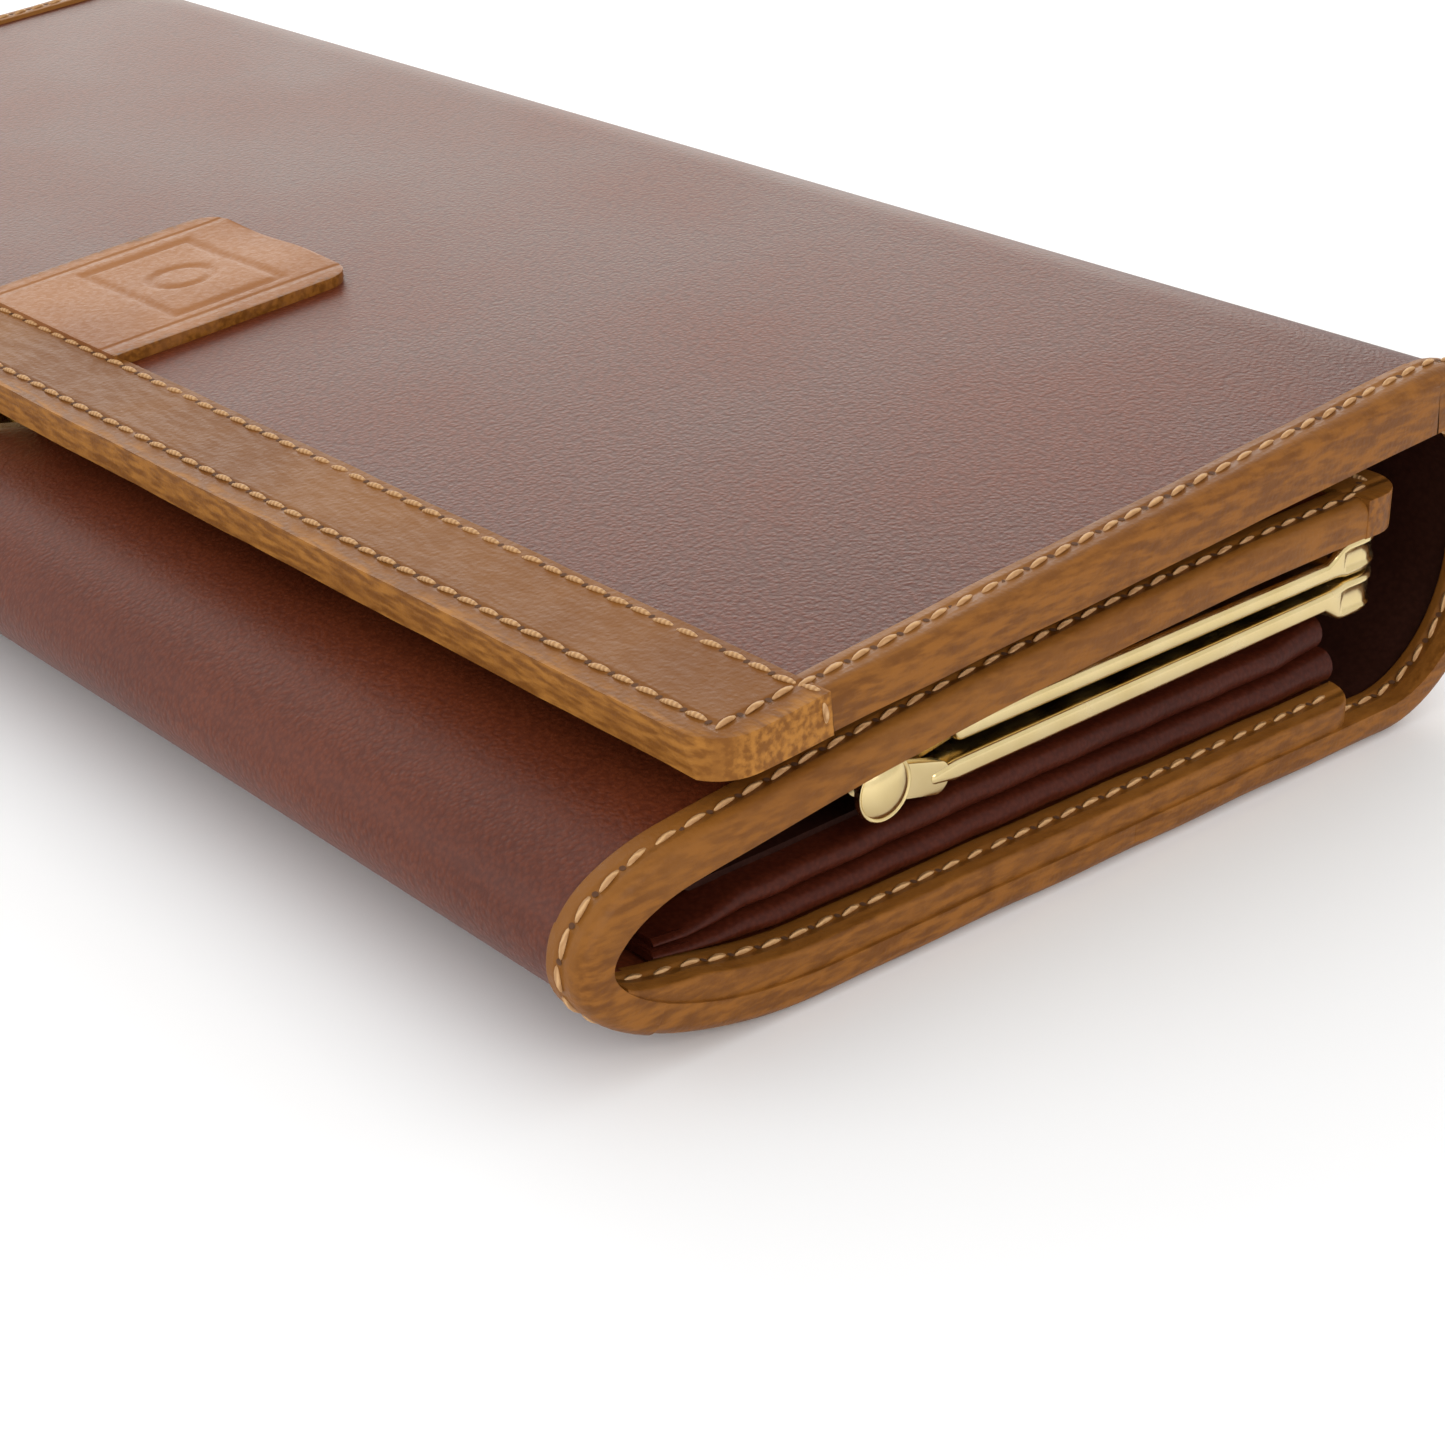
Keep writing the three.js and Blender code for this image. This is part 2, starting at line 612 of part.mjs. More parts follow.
function rivet() {
  const headTop = FRAME_HALF - ARM_DEPTH - 2 * FIT;
  const headRadius = PIN_RADIUS + 0.7;
  return profile([
    [0, headTop - PIN_HEAD],
    [headRadius, headTop - PIN_HEAD],
    [headRadius, headTop],
    [PIN_RADIUS, headTop],
    [PIN_RADIUS, FRAME_HALF],
    [CAP_RADIUS, FRAME_HALF],
    [CAP_RADIUS, FRAME_HALF + CAP_HEIGHT * 0.4],
    [CAP_RADIUS * 0.75, FRAME_HALF + CAP_HEIGHT * 0.85],
    [0, FRAME_HALF + CAP_HEIGHT],
  ]);
}

const PURSE_HALF = FRAME_HALF - ARM_DEPTH - PIN_HEAD - 4 * FIT;

// The sheet's stations: shares of the way up to a ceiling, then the height at the mouth bar.
function pursePath(shares, ceiling, endHeight) {
  const heights = shares.map((share, i) => inRoom(purseStations[i], share, ceiling));
  return [...heights, endHeight].map((z, i) => new THREE.Vector2(purseStations[i], z));
}

const lowerSheet = pursePath(PURSE_LOWER, underFrame, HINGE_Z + LOWER_RAIL[0]);
const upperSheet = pursePath(PURSE_UPPER, underPanel, HINGE_Z + UPPER_RAIL[2]);

function purseSheet(path) {
  const sheet = ribbon(path, -PURSE_HIDE / 2, PURSE_HIDE / 2);
  const outline = tongue(PURSE_HALF, PURSE_START - 5, BAR_END - ARM_DEPTH - SEAM, 2);
  return side(sheet, -PURSE_HALF, PURSE_HALF).intersect(plan(outline, -HEIGHT, 2 * HEIGHT));
}

// The lower sheet turns round the purse's bottom and comes back to the hinge line.
function purseLowerPath() {
  const split = HINGE_Y - PURSE_SPLIT / 2;
  const turn = new THREE.Vector2(PURSE_START - 0.7, (lowerSheet[0].y + upperSheet[0].y) / 2);
  const end = new THREE.Vector2(split, heightAt(upperSheet, split));
  return [...lowerSheet.slice().reverse(), turn, upperSheet[0], upperSheet[1], end];
}

function purseUpperPath() {
  const split = HINGE_Y + PURSE_SPLIT / 2;
  return [new THREE.Vector2(split, heightAt(upperSheet, split)), ...upperSheet.slice(2)];
}

function addPurse() {
  addBrass("frame_lower", frameHalf(LOWER_RAIL, FRAME_HALF - FIT - LUG));
  addBrass("frame_upper", frameHalf(UPPER_RAIL, FRAME_HALF - ARM_DEPTH));
  addBrass("kiss_ball_lower", kissBall(-1, LOWER_RAIL[2]));
  addBrass("kiss_ball_upper", kissBall(1, UPPER_RAIL[2]));
  const pin = turnedX(rivet(), 0, HINGE_Y, HINGE_Z, 1);
  addBrass("hinge_rivet_right", pin);
  addBrass("hinge_rivet_left", mirror(pin));
  addLeather("purse_lower_leather", purseSheet(purseLowerPath()), DARK);
  addLeather("purse_upper_leather", purseSheet(purseUpperPath()), DARK);
}

// ---------- gussets ----------

// One fold of leather running along Y, rounded toward +X, squeezed between two heights.
function fold(lowerAt, upperAt, xOut, deep, y0, y1) {
  const shape = new THREE.Shape();
  const turns = 5;
  const outline = (inset, x) => {
    const points = [new THREE.Vector2(xOut - deep, inset)];
    for (let i = 0; i <= turns; i++) {
      const a = -Math.PI / 2 + (Math.PI * i) / turns;
      points.push(new THREE.Vector2(x + Math.cos(a) * (0.9 - inset), 0.5 + Math.sin(a) * (0.5 - inset)));
    }
    points.push(new THREE.Vector2(xOut - deep, 1 - inset));
    return points;
  };
  const wall = GUSSET_WALL / 2;
  shape.setFromPoints([...outline(0, xOut - 1), ...outline(wall, xOut - 1).reverse()]);
  const options = { depth: y1 - y0, steps: 12, bevelEnabled: false };
  const geometry = new THREE.ExtrudeGeometry(shape, options);
  const position = geometry.getAttribute("position");
  for (let i = 0; i < position.count; i++) {
    const x = position.getX(i);
    const y = y1 - position.getZ(i);
    const low = lowerAt(y);
    position.setXYZ(i, x, y, low + position.getY(i) * (upperAt(y) - low));
  }
  return toSolid(geometry);
}

function addGussets() {
  const underPurse = offset(lowerSheet, -PURSE_HIDE / 2 - 2 * FIT);
  const overPurse = offset(upperSheet, PURSE_HIDE / 2 + 3 * FIT);
  const inPurseLow = offset(lowerSheet, PURSE_HIDE / 2 + FIT);
  const inPurseTop = offset(upperSheet, -PURSE_HIDE / 2 - FIT);
  const low = (y) => heightAt(leafTop, y);
  const high = (y) => heightAt(underPurse, y);
  const middle = (y) => (low(y) + high(y)) / 2;
  const out = HALF - GUSSET_INSET;
  const purseOut = PURSE_HALF - PURSE_GUSSET_INSET;
  const start = PURSE_START + 1;
  const end = BAR_END - GUSSET_SETBACK;
  const folds = {
    gusset_lower: [low, (y) => middle(y) - FIT / 2, out, GUSSET_DEEP, start, end],
    gusset_upper: [
      (y) => middle(y) + FIT / 2,
      high,
      out - GUSSET_STEP,
      GUSSET_DEEP,
      start,
      end - 1,
    ],
    gusset_front: [
      (y) => heightAt(overPurse, y),
      (y) => heightAt(underPanel, y),
      purseOut,
      GUSSET_DEEP,
      start + 2,
      end - 3,
    ],
    gusset_purse: [
      (y) => heightAt(inPurseLow, y),
      (y) => heightAt(inPurseTop, y),
      purseOut,
      PURSE_GUSSET_DEEP,
      start + 2,
      HINGE_Y - 2,
    ],
  };
  for (const [name, values] of Object.entries(folds)) {
    const solid = fold(...values);
    addLeather(name + "_right", solid, DARK);
    addLeather(name + "_left", mirror(solid), DARK);
  }
}

addShell();
addFlap();
addFrontPanel();
addLeaf();
addTab();
addPressStud();
addPurse();
addGussets();

export default group;
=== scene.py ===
# %% [markdown]
# # A long wallet with a wrap-over flap and a framed coin purse
# The wallet lies on its back. One long strip of brown leather makes the flap, the spine, the back
# and the front panel; its edges are folded in tan leather and stitched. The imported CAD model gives
# every place and size, and each step below models one piece of the real wallet around it.

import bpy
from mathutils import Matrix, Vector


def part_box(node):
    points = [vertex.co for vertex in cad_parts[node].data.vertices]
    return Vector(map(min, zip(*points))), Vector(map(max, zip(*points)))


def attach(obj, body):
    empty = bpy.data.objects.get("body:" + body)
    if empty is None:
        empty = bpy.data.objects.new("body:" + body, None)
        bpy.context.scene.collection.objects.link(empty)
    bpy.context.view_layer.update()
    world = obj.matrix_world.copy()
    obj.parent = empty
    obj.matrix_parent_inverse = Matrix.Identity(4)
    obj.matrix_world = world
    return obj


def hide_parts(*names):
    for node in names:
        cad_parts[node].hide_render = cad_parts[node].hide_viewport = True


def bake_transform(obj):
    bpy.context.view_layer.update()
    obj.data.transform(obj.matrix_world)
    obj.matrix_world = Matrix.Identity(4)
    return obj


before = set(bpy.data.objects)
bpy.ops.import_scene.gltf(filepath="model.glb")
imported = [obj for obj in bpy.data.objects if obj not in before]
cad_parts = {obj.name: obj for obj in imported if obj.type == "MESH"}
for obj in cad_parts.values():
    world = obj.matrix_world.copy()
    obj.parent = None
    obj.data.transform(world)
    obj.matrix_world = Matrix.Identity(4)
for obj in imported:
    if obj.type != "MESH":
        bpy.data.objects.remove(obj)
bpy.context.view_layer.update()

# %% Tools and units
import math
import random

import bpy
from mathutils import Matrix, Vector

MM = 0.001
SIDES = (("right", 1), ("left", -1))
random.seed(7)


def deselect_all():
    if bpy.context.object and bpy.context.object.mode != "OBJECT":
        bpy.ops.object.mode_set(mode="OBJECT")
    bpy.ops.object.select_all(action="DESELECT")


def activate(piece):
    deselect_all()
    piece.select_set(True)
    bpy.context.view_layer.objects.active = piece


def on_whole_mesh(operation, **settings):
    """Runs one edit-mode tool on every part of the active mesh."""
    bpy.ops.object.mode_set(mode="EDIT")
    bpy.ops.mesh.select_all(action="SELECT")
    operation(**settings)
    bpy.ops.object.mode_set(mode="OBJECT")


def share_of(value, start, run):
    """How far a value has got along a run from its start, from 0 to 1."""
    return min(max((value - start) / run, 0), 1)


def size_of(name):
    low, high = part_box(name)
    return [round((high[i] - low[i]) / MM, 1) for i in range(3)]


print("flap leather, mm:", size_of("flap_leather"))

# %% [markdown]
# ## The profile of the shell
# Seen from the end, the shell is a single line: it starts at the mouth of the front panel, runs
# forward and turns round the front fold, passes under the wallet, climbs the spine and comes
# forward again as the flap. Every sheet, lining and binding is this line set inward by some
# thickness, so it is worked out once. All numbers are millimetres in (y, z).

# %% Profile of the shell
HALF = 95.0
STITCH_IN = 2.0  # the stitch rows, in from an edge
NOSE = Vector((-44.7, 8.7))
LOW_ARC, LOW_R = Vector((32.7, 12.0)), 12.0
TOP_ARC, TOP_R = Vector((35.7, 19.4)), 9.0
FLAP_SLOPE = 0.113
FLAP_FRONT = -34.3
PANEL_END = 33.3


def bezier(a, b, c, d, steps):
    points = []
    for i in range(steps + 1):
        t = i / steps
        s = 1 - t
        weights = (s**3, 3 * s * s * t, 3 * s * t * t, t**3)
        y = sum(w * p[0] for w, p in zip(weights, (a, b, c, d)))
        z = sum(w * p[1] for w, p in zip(weights, (a, b, c, d)))
        points.append(Vector((y, z)))
    return points


def arc(centre, radius, start, end, steps):
    points = []
    for i in range(steps + 1):
        a = math.radians(start + (end - start) * i / steps)
        points.append(centre + radius * Vector((math.cos(a), math.sin(a))))
    return points


def line(a, b, steps):
    a, b = Vector(a), Vector(b)
    return [a.lerp(b, i / steps) for i in range(steps + 1)]


def chain(*paths):
    points = []
    for path in paths:
        for p in path:
            if not points or (points[-1] - p).length > 1e-4:
                points.append(p)
    return points


KNEE = (-36.0, 14.9)
PANEL_TOP = (PANEL_END, 20.0)
panel_line = chain(
    bezier(NOSE, (NOSE.x, 12.2), (-40.5, 14.2), KNEE, 18),
    bezier(KNEE, (-13, 18.5), (12, 19.9), PANEL_TOP, 36),
)[::-1]
FLAT_START = (-24.1, 0)
nose_line = bezier(NOSE, (NOSE.x, 3.65), (-34.4, 0), FLAT_START, 24)
back_line = line(FLAT_START, (LOW_ARC.x, 0), 24)
slope_angle = math.degrees(math.atan(FLAP_SLOPE))
low_arc = arc(LOW_ARC, LOW_R, -90, 0, 16)
top_arc = arc(TOP_ARC, TOP_R, 0, 90 + slope_angle, 16)
flap_front_z = top_arc[-1].y - (top_arc[-1].x - FLAP_FRONT) * FLAP_SLOPE
flap_line = line(top_arc[-1], (FLAP_FRONT, flap_front_z), 60)
spine_mid = Vector((LOW_ARC.x + LOW_R, (LOW_ARC.y + TOP_ARC.y) / 2))

# Three stretches, each of which crosses one crease.
front_stretch = chain(panel_line, nose_line, back_line[:13])
back_stretch = chain(back_line[12:], low_arc, line(low_arc[-1], spine_mid, 3))
flap_stretch = chain(line(spine_mid, top_arc[0], 3), top_arc, flap_line)
print("points:", len(front_stretch), len(back_stretch), len(flap_stretch))


def inset(path, depth):
    """The path moved inward, to its left, by a depth or by depth(point)."""
    moved = []
    for i, p in enumerate(path):
        before = path[max(i - 1, 0)]
        after = path[min(i + 1, len(path) - 1)]
        tangent = (after - before).normalized()
        d = depth(p) if callable(depth) else depth
        moved.append(Vector((p.x - tangent.y * d, p.y + tangent.x * d)))
    return moved


def trimmed(path, y_end):
    """The path up to the point where it crosses y_end on its way forward."""
    kept = []
    for a, b in zip(path, path[1:]):
        kept.append(a)
        if a.x > y_end >= b.x:
            kept.append(a.lerp(b, (a.x - y_end) / (a.x - b.x)))
            return kept
    return kept + [path[-1]]


def after(path, y_start):
    """The path from the point where it crosses y_start on its way forward."""
    for i, (a, b) in enumerate(zip(path, path[1:])):
        if a.x > y_start >= b.x:
            return [a.lerp(b, (a.x - y_start) / (a.x - b.x))] + path[i + 1 :]
    return path


def height_on(path, y):
    for a, b in zip(path, path[1:]):
        if (a.x - y) * (b.x - y) <= 0 and a.x != b.x:
            return a.y + (b.y - a.y) * (y - a.x) / (b.x - a.x)
    return None


# %% [markdown]
# ## How each sheet is made
# A leather sheet is an edge laid along the wallet and extruded from point to point of the profile,
# as by hand. Solidify then gives it its thickness on the inner side, and the long edges are
# bevelled round. A lofted surface would do as well, but the extrusion keeps clean rows of faces
# that bend well at the creases.

# %% Sheet maker
def pick(piece, vert=None, edge=None, face=None):
    """Selects the vertices, edges or faces that pass a test and opens edit mode."""
    activate(piece)
    mesh = piece.data
    for part in (mesh.vertices, mesh.edges, mesh.polygons):
        part.foreach_set("select", [False] * len(part))
    chosen = 0
    if vert:
        for v in mesh.vertices:
            v.select = vert(v.co)
            chosen += v.select
    if edge:
        for e in mesh.edges:
            e.select = edge(e)
            chosen += e.select
    if face:
        for f in mesh.polygons:
            f.select = face(f)
            chosen += f.select
    kind = "FACE" if face else ("EDGE" if edge else "VERT")
    bpy.context.tool_settings.mesh_select_mode = (kind == "VERT", kind == "EDGE", kind == "FACE")
    bpy.ops.object.mode_set(mode="EDIT")
    return chosen


def sweep(name, path, x0, x1, cuts=1):
    """Extrudes an edge along X through the points of a (y, z) profile."""
    deselect_all()
    bpy.ops.mesh.primitive_plane_add(size=1, location=(0, 0, 0))
    piece = bpy.context.object
    piece.name = name
    piece.data.name = name
    pick(piece, vert=lambda p: p.y > 0)
    bpy.ops.mesh.delete(type="VERT")
    bpy.ops.mesh.select_all(action="SELECT")
    bpy.ops.transform.resize(value=(abs(x1 - x0) * MM, 1, 1), center_override=(0, -0.5, 0))
    shift = ((x0 + x1) / 2 * MM, path[0].x * MM + 0.5, path[0].y * MM)
    bpy.ops.transform.translate(value=shift)
    if cuts > 1:
        bpy.ops.mesh.subdivide(number_cuts=cuts - 1)
    bpy.ops.mesh.select_mode(type="EDGE")
    bpy.ops.mesh.select_all(action="SELECT")
    for a, b in zip(path, path[1:]):
        step = (0, (b.x - a.x) * MM, (b.y - a.y) * MM)
        bpy.ops.mesh.extrude_region_move(TRANSFORM_OT_translate={"value": step})
    bpy.ops.object.mode_set(mode="OBJECT")
    tangent = (path[1] - path[0]).normalized()
    outward = Vector((0, tangent.y, -tangent.x))
    if piece.data.polygons[0].normal.dot(outward) < 0:
        on_whole_mesh(bpy.ops.mesh.flip_normals)
    return piece


def thicken(piece, depth, at=None):
    """Gives a sheet its wall on the inner side; at(point) scales it along the sheet."""
    activate(piece)
    solid = piece.modifiers.new("wall", "SOLIDIFY")
    solid.thickness = depth * MM
    solid.offset = -1
    solid.use_even_offset = True
    if at:
        group = piece.vertex_groups.new(name="wall")
        for v in piece.data.vertices:
            group.add([v.index], at(v.co), "REPLACE")
        solid.vertex_group = "wall"
    bpy.ops.object.modifier_apply(modifier="wall")
    piece.vertex_groups.clear()
    return piece


def sharp_edges(piece, angle=50):
    """The edges between faces that meet at more than an angle, and open edges."""
    mesh = piece.data
    sides = {}
    for f in mesh.polygons:
        for key in f.edge_keys:
            sides.setdefault(key, []).append(f.normal.copy())
    limit = math.cos(math.radians(angle))
    return {key for key, n in sides.items() if len(n) < 2 or n[0].dot(n[1]) < limit}


def bevel_where(piece, test, width, segments=4):
    """Bevels the sharp edges whose two ends pass the test."""
    sharp = sharp_edges(piece)
    points = [v.co for v in piece.data.vertices]

    def chosen(e):
        key = tuple(sorted(e.vertices))
        return key in sharp and all(test(points[i]) for i in key)

    if pick(piece, edge=chosen):
        bpy.ops.mesh.bevel(
            offset=width * MM, segments=segments, profile=0.5, affect="EDGES", clamp_overlap=True
        )
    bpy.ops.object.mode_set(mode="OBJECT")
    return piece


def smooth(piece, angle=40):
    activate(piece)
    bpy.ops.object.shade_smooth_by_angle(angle=math.radians(angle))
    return piece


def round_plan(piece, half, edge, radius):
    """Draws the rows near an edge inward, so that its two plan corners become round."""
    for v in piece.data.vertices:
        depth = radius - abs(v.co.y / MM - edge)
        if depth > 0:
            reach = half - radius + math.sqrt(max(radius**2 - depth**2, 0))
            v.co.x *= reach / half
    return piece


def fine_end(path, radius):
    """Adds closely spaced points over the last stretch of a path."""
    end = path[-1]
    kept = [p for p in path if abs(p.x - end.x) > radius]
    start = kept[-1]
    shares = [math.sin(math.pi / 2 * (i + 1) / 10) for i in range(10)]
    return kept + [start.lerp(end, share) for share in shares]


def uneven(piece, amount=0.05):
    """Small waves along the length, as in hand-cut leather."""
    for v in piece.data.vertices:
        x, y, z = (c / MM for c in v.co)
        wave = math.sin(0.31 * x + 0.2 * y) + math.sin(0.83 * x - 0.5 * y + z) * 0.6 + math.sin(0.47 * y)
        v.co.z += amount * wave * MM
    return piece


def anywhere(p):
    return True


# %% [markdown]
# ## Finishes
# The leathers share one grain: small pebbles with finer pores between them. It is a node group, so
# each leather sets its own scale. The tan bindings are vegetable-tanned: they darken and turn
# orange-brown where hands rub the edges, so a second group makes an edge mask from the distance to
# the wallet's ends, broken up by noise. The flecks in the rubbed edge are drawn out along each
# strip. Using the place on the wallet rather than a painted map keeps the wear in the right spots
# on every piece.

# %% Node helpers
def new_group(name, inputs, outputs):
    group = bpy.data.node_groups.new(name, "ShaderNodeTree")
    for label, kind, value in inputs:
        socket = group.interface.new_socket(label, in_out="INPUT", socket_type=kind)
        if value is not None:
            socket.default_value = value
    for label, kind in outputs:
        group.interface.new_socket(label, in_out="OUTPUT", socket_type=kind)
    return group


def add_node(tree, kind, **settings):
    node = tree.nodes.new(kind)
    for key, value in settings.items():
        if key in node.inputs:
            node.inputs[key].default_value = value
        else:
            setattr(node, key, value)
    return node


def noise(tree, vector, scale, detail=2.0):
    node = add_node(tree, "ShaderNodeTexNoise", Scale=scale, Detail=detail)
    tree.links.new(vector, node.inputs["Vector"])
    return node.outputs[0]


def math_node(tree, operation, a, b=None, c=None):
    node = tree.nodes.new("ShaderNodeMath")
    node.operation = operation
    for i, value in enumerate((a, b, c)):
        if value is None:
            continue
        if isinstance(value, (int, float)):
            node.inputs[i].default_value = value
        else:
            tree.links.new(value, node.inputs[i])
    return node.outputs[0]


def ramp_between(tree, value, low, high, to_low=0.0, to_high=1.0):
    node = tree.nodes.new("ShaderNodeMapRange")
    node.interpolation_type = "SMOOTHSTEP"
    tree.links.new(value, node.inputs[0])
    for i, number in enumerate((low, high, to_low, to_high)):
        node.inputs[i + 1].default_value = number
    return node.outputs[0]


def mix_colour(tree, factor, a, b, blend="MIX"):
    node = tree.nodes.new("ShaderNodeMix")
    node.data_type = "RGBA"
    node.blend_type = blend
    node.clamp_factor = True
    for socket, value in ((node.inputs[0], factor), (node.inputs[6], a), (node.inputs[7], b)):
        if isinstance(value, (int, float)):
            socket.default_value = value
        elif isinstance(value, tuple):
            socket.default_value = value
        else:
            tree.links.new(value, socket)
    return node.outputs[2]


def colour(r, g, b):
    """An sRGB colour, 0 to 255, as linear RGBA."""
    linear = []
    for c in (r, g, b):
        c /= 255
        linear.append(c / 12.92 if c <= 0.04045 else ((c + 0.055) / 1.055) ** 2.4)
    return (*linear, 1.0)


# %% Leather grain group
grain = new_group(
    "leather grain",
    [("Vector", "NodeSocketVector", None), ("Pebbles per mm", "NodeSocketFloat", 1.6)],
    [("Height", "NodeSocketFloat"), ("Mottle", "NodeSocketFloat")],
)
g_in = grain.nodes.new("NodeGroupInput")
g_out = grain.nodes.new("NodeGroupOutput")
scale = math_node(grain, "MULTIPLY", g_in.outputs[1], 1000.0)
pebbles = add_node(grain, "ShaderNodeTexVoronoi", feature="SMOOTH_F1", Smoothness=0.6)
grain.links.new(g_in.outputs[0], pebbles.inputs["Vector"])
grain.links.new(scale, pebbles.inputs["Scale"])
pores = add_node(grain, "ShaderNodeTexNoise", Detail=4.0)
grain.links.new(g_in.outputs[0], pores.inputs["Vector"])
grain.links.new(math_node(grain, "MULTIPLY", scale, 1.7), pores.inputs["Scale"])
bumps = math_node(grain, "MULTIPLY", pebbles.outputs["Distance"], -0.8)
height = math_node(grain, "ADD", bumps, math_node(grain, "MULTIPLY", pores.outputs[0], 0.7))
grain.links.new(height, g_out.inputs[0])
grain.links.new(noise(grain, g_in.outputs[0], 45.0, 5.0), g_out.inputs[1])

# %% Edge wear group
wear = new_group(
    "edge wear",
    [
        ("Vector", "NodeSocketVector", None),
        ("End", "NodeSocketFloat", HALF * MM),
        ("Front", "NodeSocketFloat", -1.0),
        ("Width", "NodeSocketFloat", 1.2 * MM),
    ],
    [("Worn", "NodeSocketFloat"), ("Line", "NodeSocketFloat")],
)
w_in = wear.nodes.new("NodeGroupInput")
w_out = wear.nodes.new("NodeGroupOutput")
parts = wear.nodes.new("ShaderNodeSeparateXYZ")
wear.links.new(w_in.outputs[0], parts.inputs[0])
from_end = math_node(wear, "SUBTRACT", w_in.outputs[1], math_node(wear, "ABSOLUTE", parts.outputs[0]))
from_front = math_node(wear, "SUBTRACT", parts.outputs[1], w_in.outputs[2])
nearest = math_node(wear, "MINIMUM", from_end, from_front)
rub = noise(wear, w_in.outputs[0], 420.0, 5.0)
ragged = math_node(wear, "MULTIPLY", math_node(wear, "SUBTRACT", rub, 0.5), 2.2 * MM)
edge = math_node(wear, "DIVIDE", math_node(wear, "ADD", nearest, ragged), w_in.outputs[3])
worn = math_node(wear, "SUBTRACT", 1.0, edge)
worn_clamped = wear.nodes.new("ShaderNodeClamp")
wear.links.new(worn, worn_clamped.inputs[0])
wear.links.new(worn_clamped.outputs[0], w_out.inputs[0])
seam = math_node(wear, "ABSOLUTE", math_node(wear, "SUBTRACT", nearest, STITCH_IN * MM))
wear.links.new(ramp_between(wear, seam, 0.0, 0.6 * MM, 1.0, 0.0), w_out.inputs[1])


# %% Leather makers
def base_material(name, roughness, **fixed):
    material = bpy.data.materials.new(name)
    material.use_nodes = True
    tree = material.node_tree
    shader = tree.nodes["Principled BSDF"]
    shader.inputs["Roughness"].default_value = roughness
    for key, value in fixed.items():
        shader.inputs[key.replace("_", " ")].default_value = value
    place = tree.nodes.new("ShaderNodeTexCoord")
    return material, tree, shader, place.outputs["Object"]


def use_group(tree, group, vector, **values):
    node = tree.nodes.new("ShaderNodeGroup")
    node.node_tree = group
    tree.links.new(vector, node.inputs[0])
    for key, value in values.items():
        node.inputs[key.replace("_", " ")].default_value = value
    return node


def add_bump(tree, shader, height, distance, strength=1.0):
    bump = tree.nodes.new("ShaderNodeBump")
    bump.inputs["Strength"].default_value = strength
    bump.inputs["Distance"].default_value = distance * MM
    tree.links.new(height, bump.inputs["Height"])
    tree.links.new(bump.outputs[0], shader.inputs["Normal"])


def brown_leather(name, deep, light, roughness, pebbles, relief, sheen=0.3):
    material, tree, shader, place = base_material(name, roughness, Specular_IOR_Level=sheen)
    skin = use_group(tree, grain, place, Pebbles_per_mm=pebbles)
    shade = ramp_between(tree, skin.outputs["Mottle"], 0.2, 0.8)
    tint = mix_colour(tree, shade, deep, light)
    # Painted shade: the base colour is darkened in the low valleys of the grain.
    valley_shade = ramp_between(tree, skin.outputs["Height"], -0.35, 0.3)
    dark = mix_colour(tree, 1.0, tint, colour(215, 205, 200), "MULTIPLY")
    tree.links.new(mix_colour(tree, valley_shade, dark, tint), shader.inputs["Base Color"])
    gloss = ramp_between(tree, skin.outputs["Mottle"], 0.3, 0.7, roughness - 0.02, roughness + 0.02)
    tree.links.new(gloss, shader.inputs["Roughness"])
    add_bump(tree, shader, skin.outputs["Height"], relief)
    return material


def tan_leather(name, pale, tan, rubbed, end, front=-1.0, width=1.2, streak=(1.0, 1.0, 1.0)):
    material, tree, shader, place = base_material(name, 0.5, Specular_IOR_Level=0.18)
    skin = use_group(tree, grain, place, Pebbles_per_mm=2.4)
    rim = use_group(tree, wear, place, End=end * MM, Front=front * MM, Width=width * MM)
    shade = ramp_between(tree, skin.outputs["Mottle"], 0.36, 0.66)
    tint = mix_colour(tree, shade, pale, tan)
    drawn = add_node(tree, "ShaderNodeVectorMath", operation="MULTIPLY")
    drawn.inputs[1].default_value = streak
    tree.links.new(place, drawn.inputs[0])
    flecks = ramp_between(tree, noise(tree, drawn.outputs[0], 1900.0, 6.0), 0.36, 0.66)
    dark_rim = mix_colour(tree, flecks, rubbed[0], rubbed[1])
    body = mix_colour(tree, rim.outputs["Worn"], tint, dark_rim)
    tree.links.new(body, shader.inputs["Base Color"])
    gloss = math_node(tree, "MULTIPLY_ADD", flecks, 0.12, 0.42)
    tree.links.new(gloss, shader.inputs["Roughness"])
    groove = math_node(tree, "MULTIPLY", rim.outputs["Line"], -1.6)
    relief = math_node(tree, "ADD", math_node(tree, "MULTIPLY", skin.outputs["Height"], 0.35), groove)
    add_bump(tree, shader, relief, 0.1)
    return material


# %% The wallet's leathers
hide_brown = brown_leather("brown leather", colour(90, 38, 17), colour(108, 49, 23), 0.42, 2.6, 0.045)
RUBBED = (colour(106, 62, 18), colour(138, 86, 30))
# The flap band's rubbed edge: real edge wear, painted paler with a painted highlight for the sheen its edge
# catches.
RUBBED_WITH_HIGHLIGHT = (colour(122, 74, 22), colour(168, 112, 46))
ALONG_Y, ALONG_X = (1.0, 0.22, 1.0), (0.22, 1.0, 1.0)
tan_end = tan_leather(
    "tan binding", colour(138, 88, 34), colour(120, 72, 24), RUBBED, HALF, -1000.0, 1.5, ALONG_Y
)
tan_flap = tan_leather(
    "tan flap band", colour(134, 84, 30), colour(118, 70, 22), RUBBED_WITH_HIGHLIGHT, HALF, FLAP_FRONT, 1.4, ALONG_X
)
tan_tab = tan_leather("tan label tab", colour(160, 108, 66), colour(140, 88, 48), RUBBED, 11.4, -60.0, 0.8)
tan_mouth = tan_leather(
    "tan mouth binding", colour(138, 88, 34), colour(120, 72, 24), RUBBED, HALF - 0.5, -1000.0, 1.5, ALONG_X
)
lining_dark = brown_leather("dark lining", colour(44, 20, 13), colour(56, 27, 18), 0.5, 2.2, 0.03, 0.2)
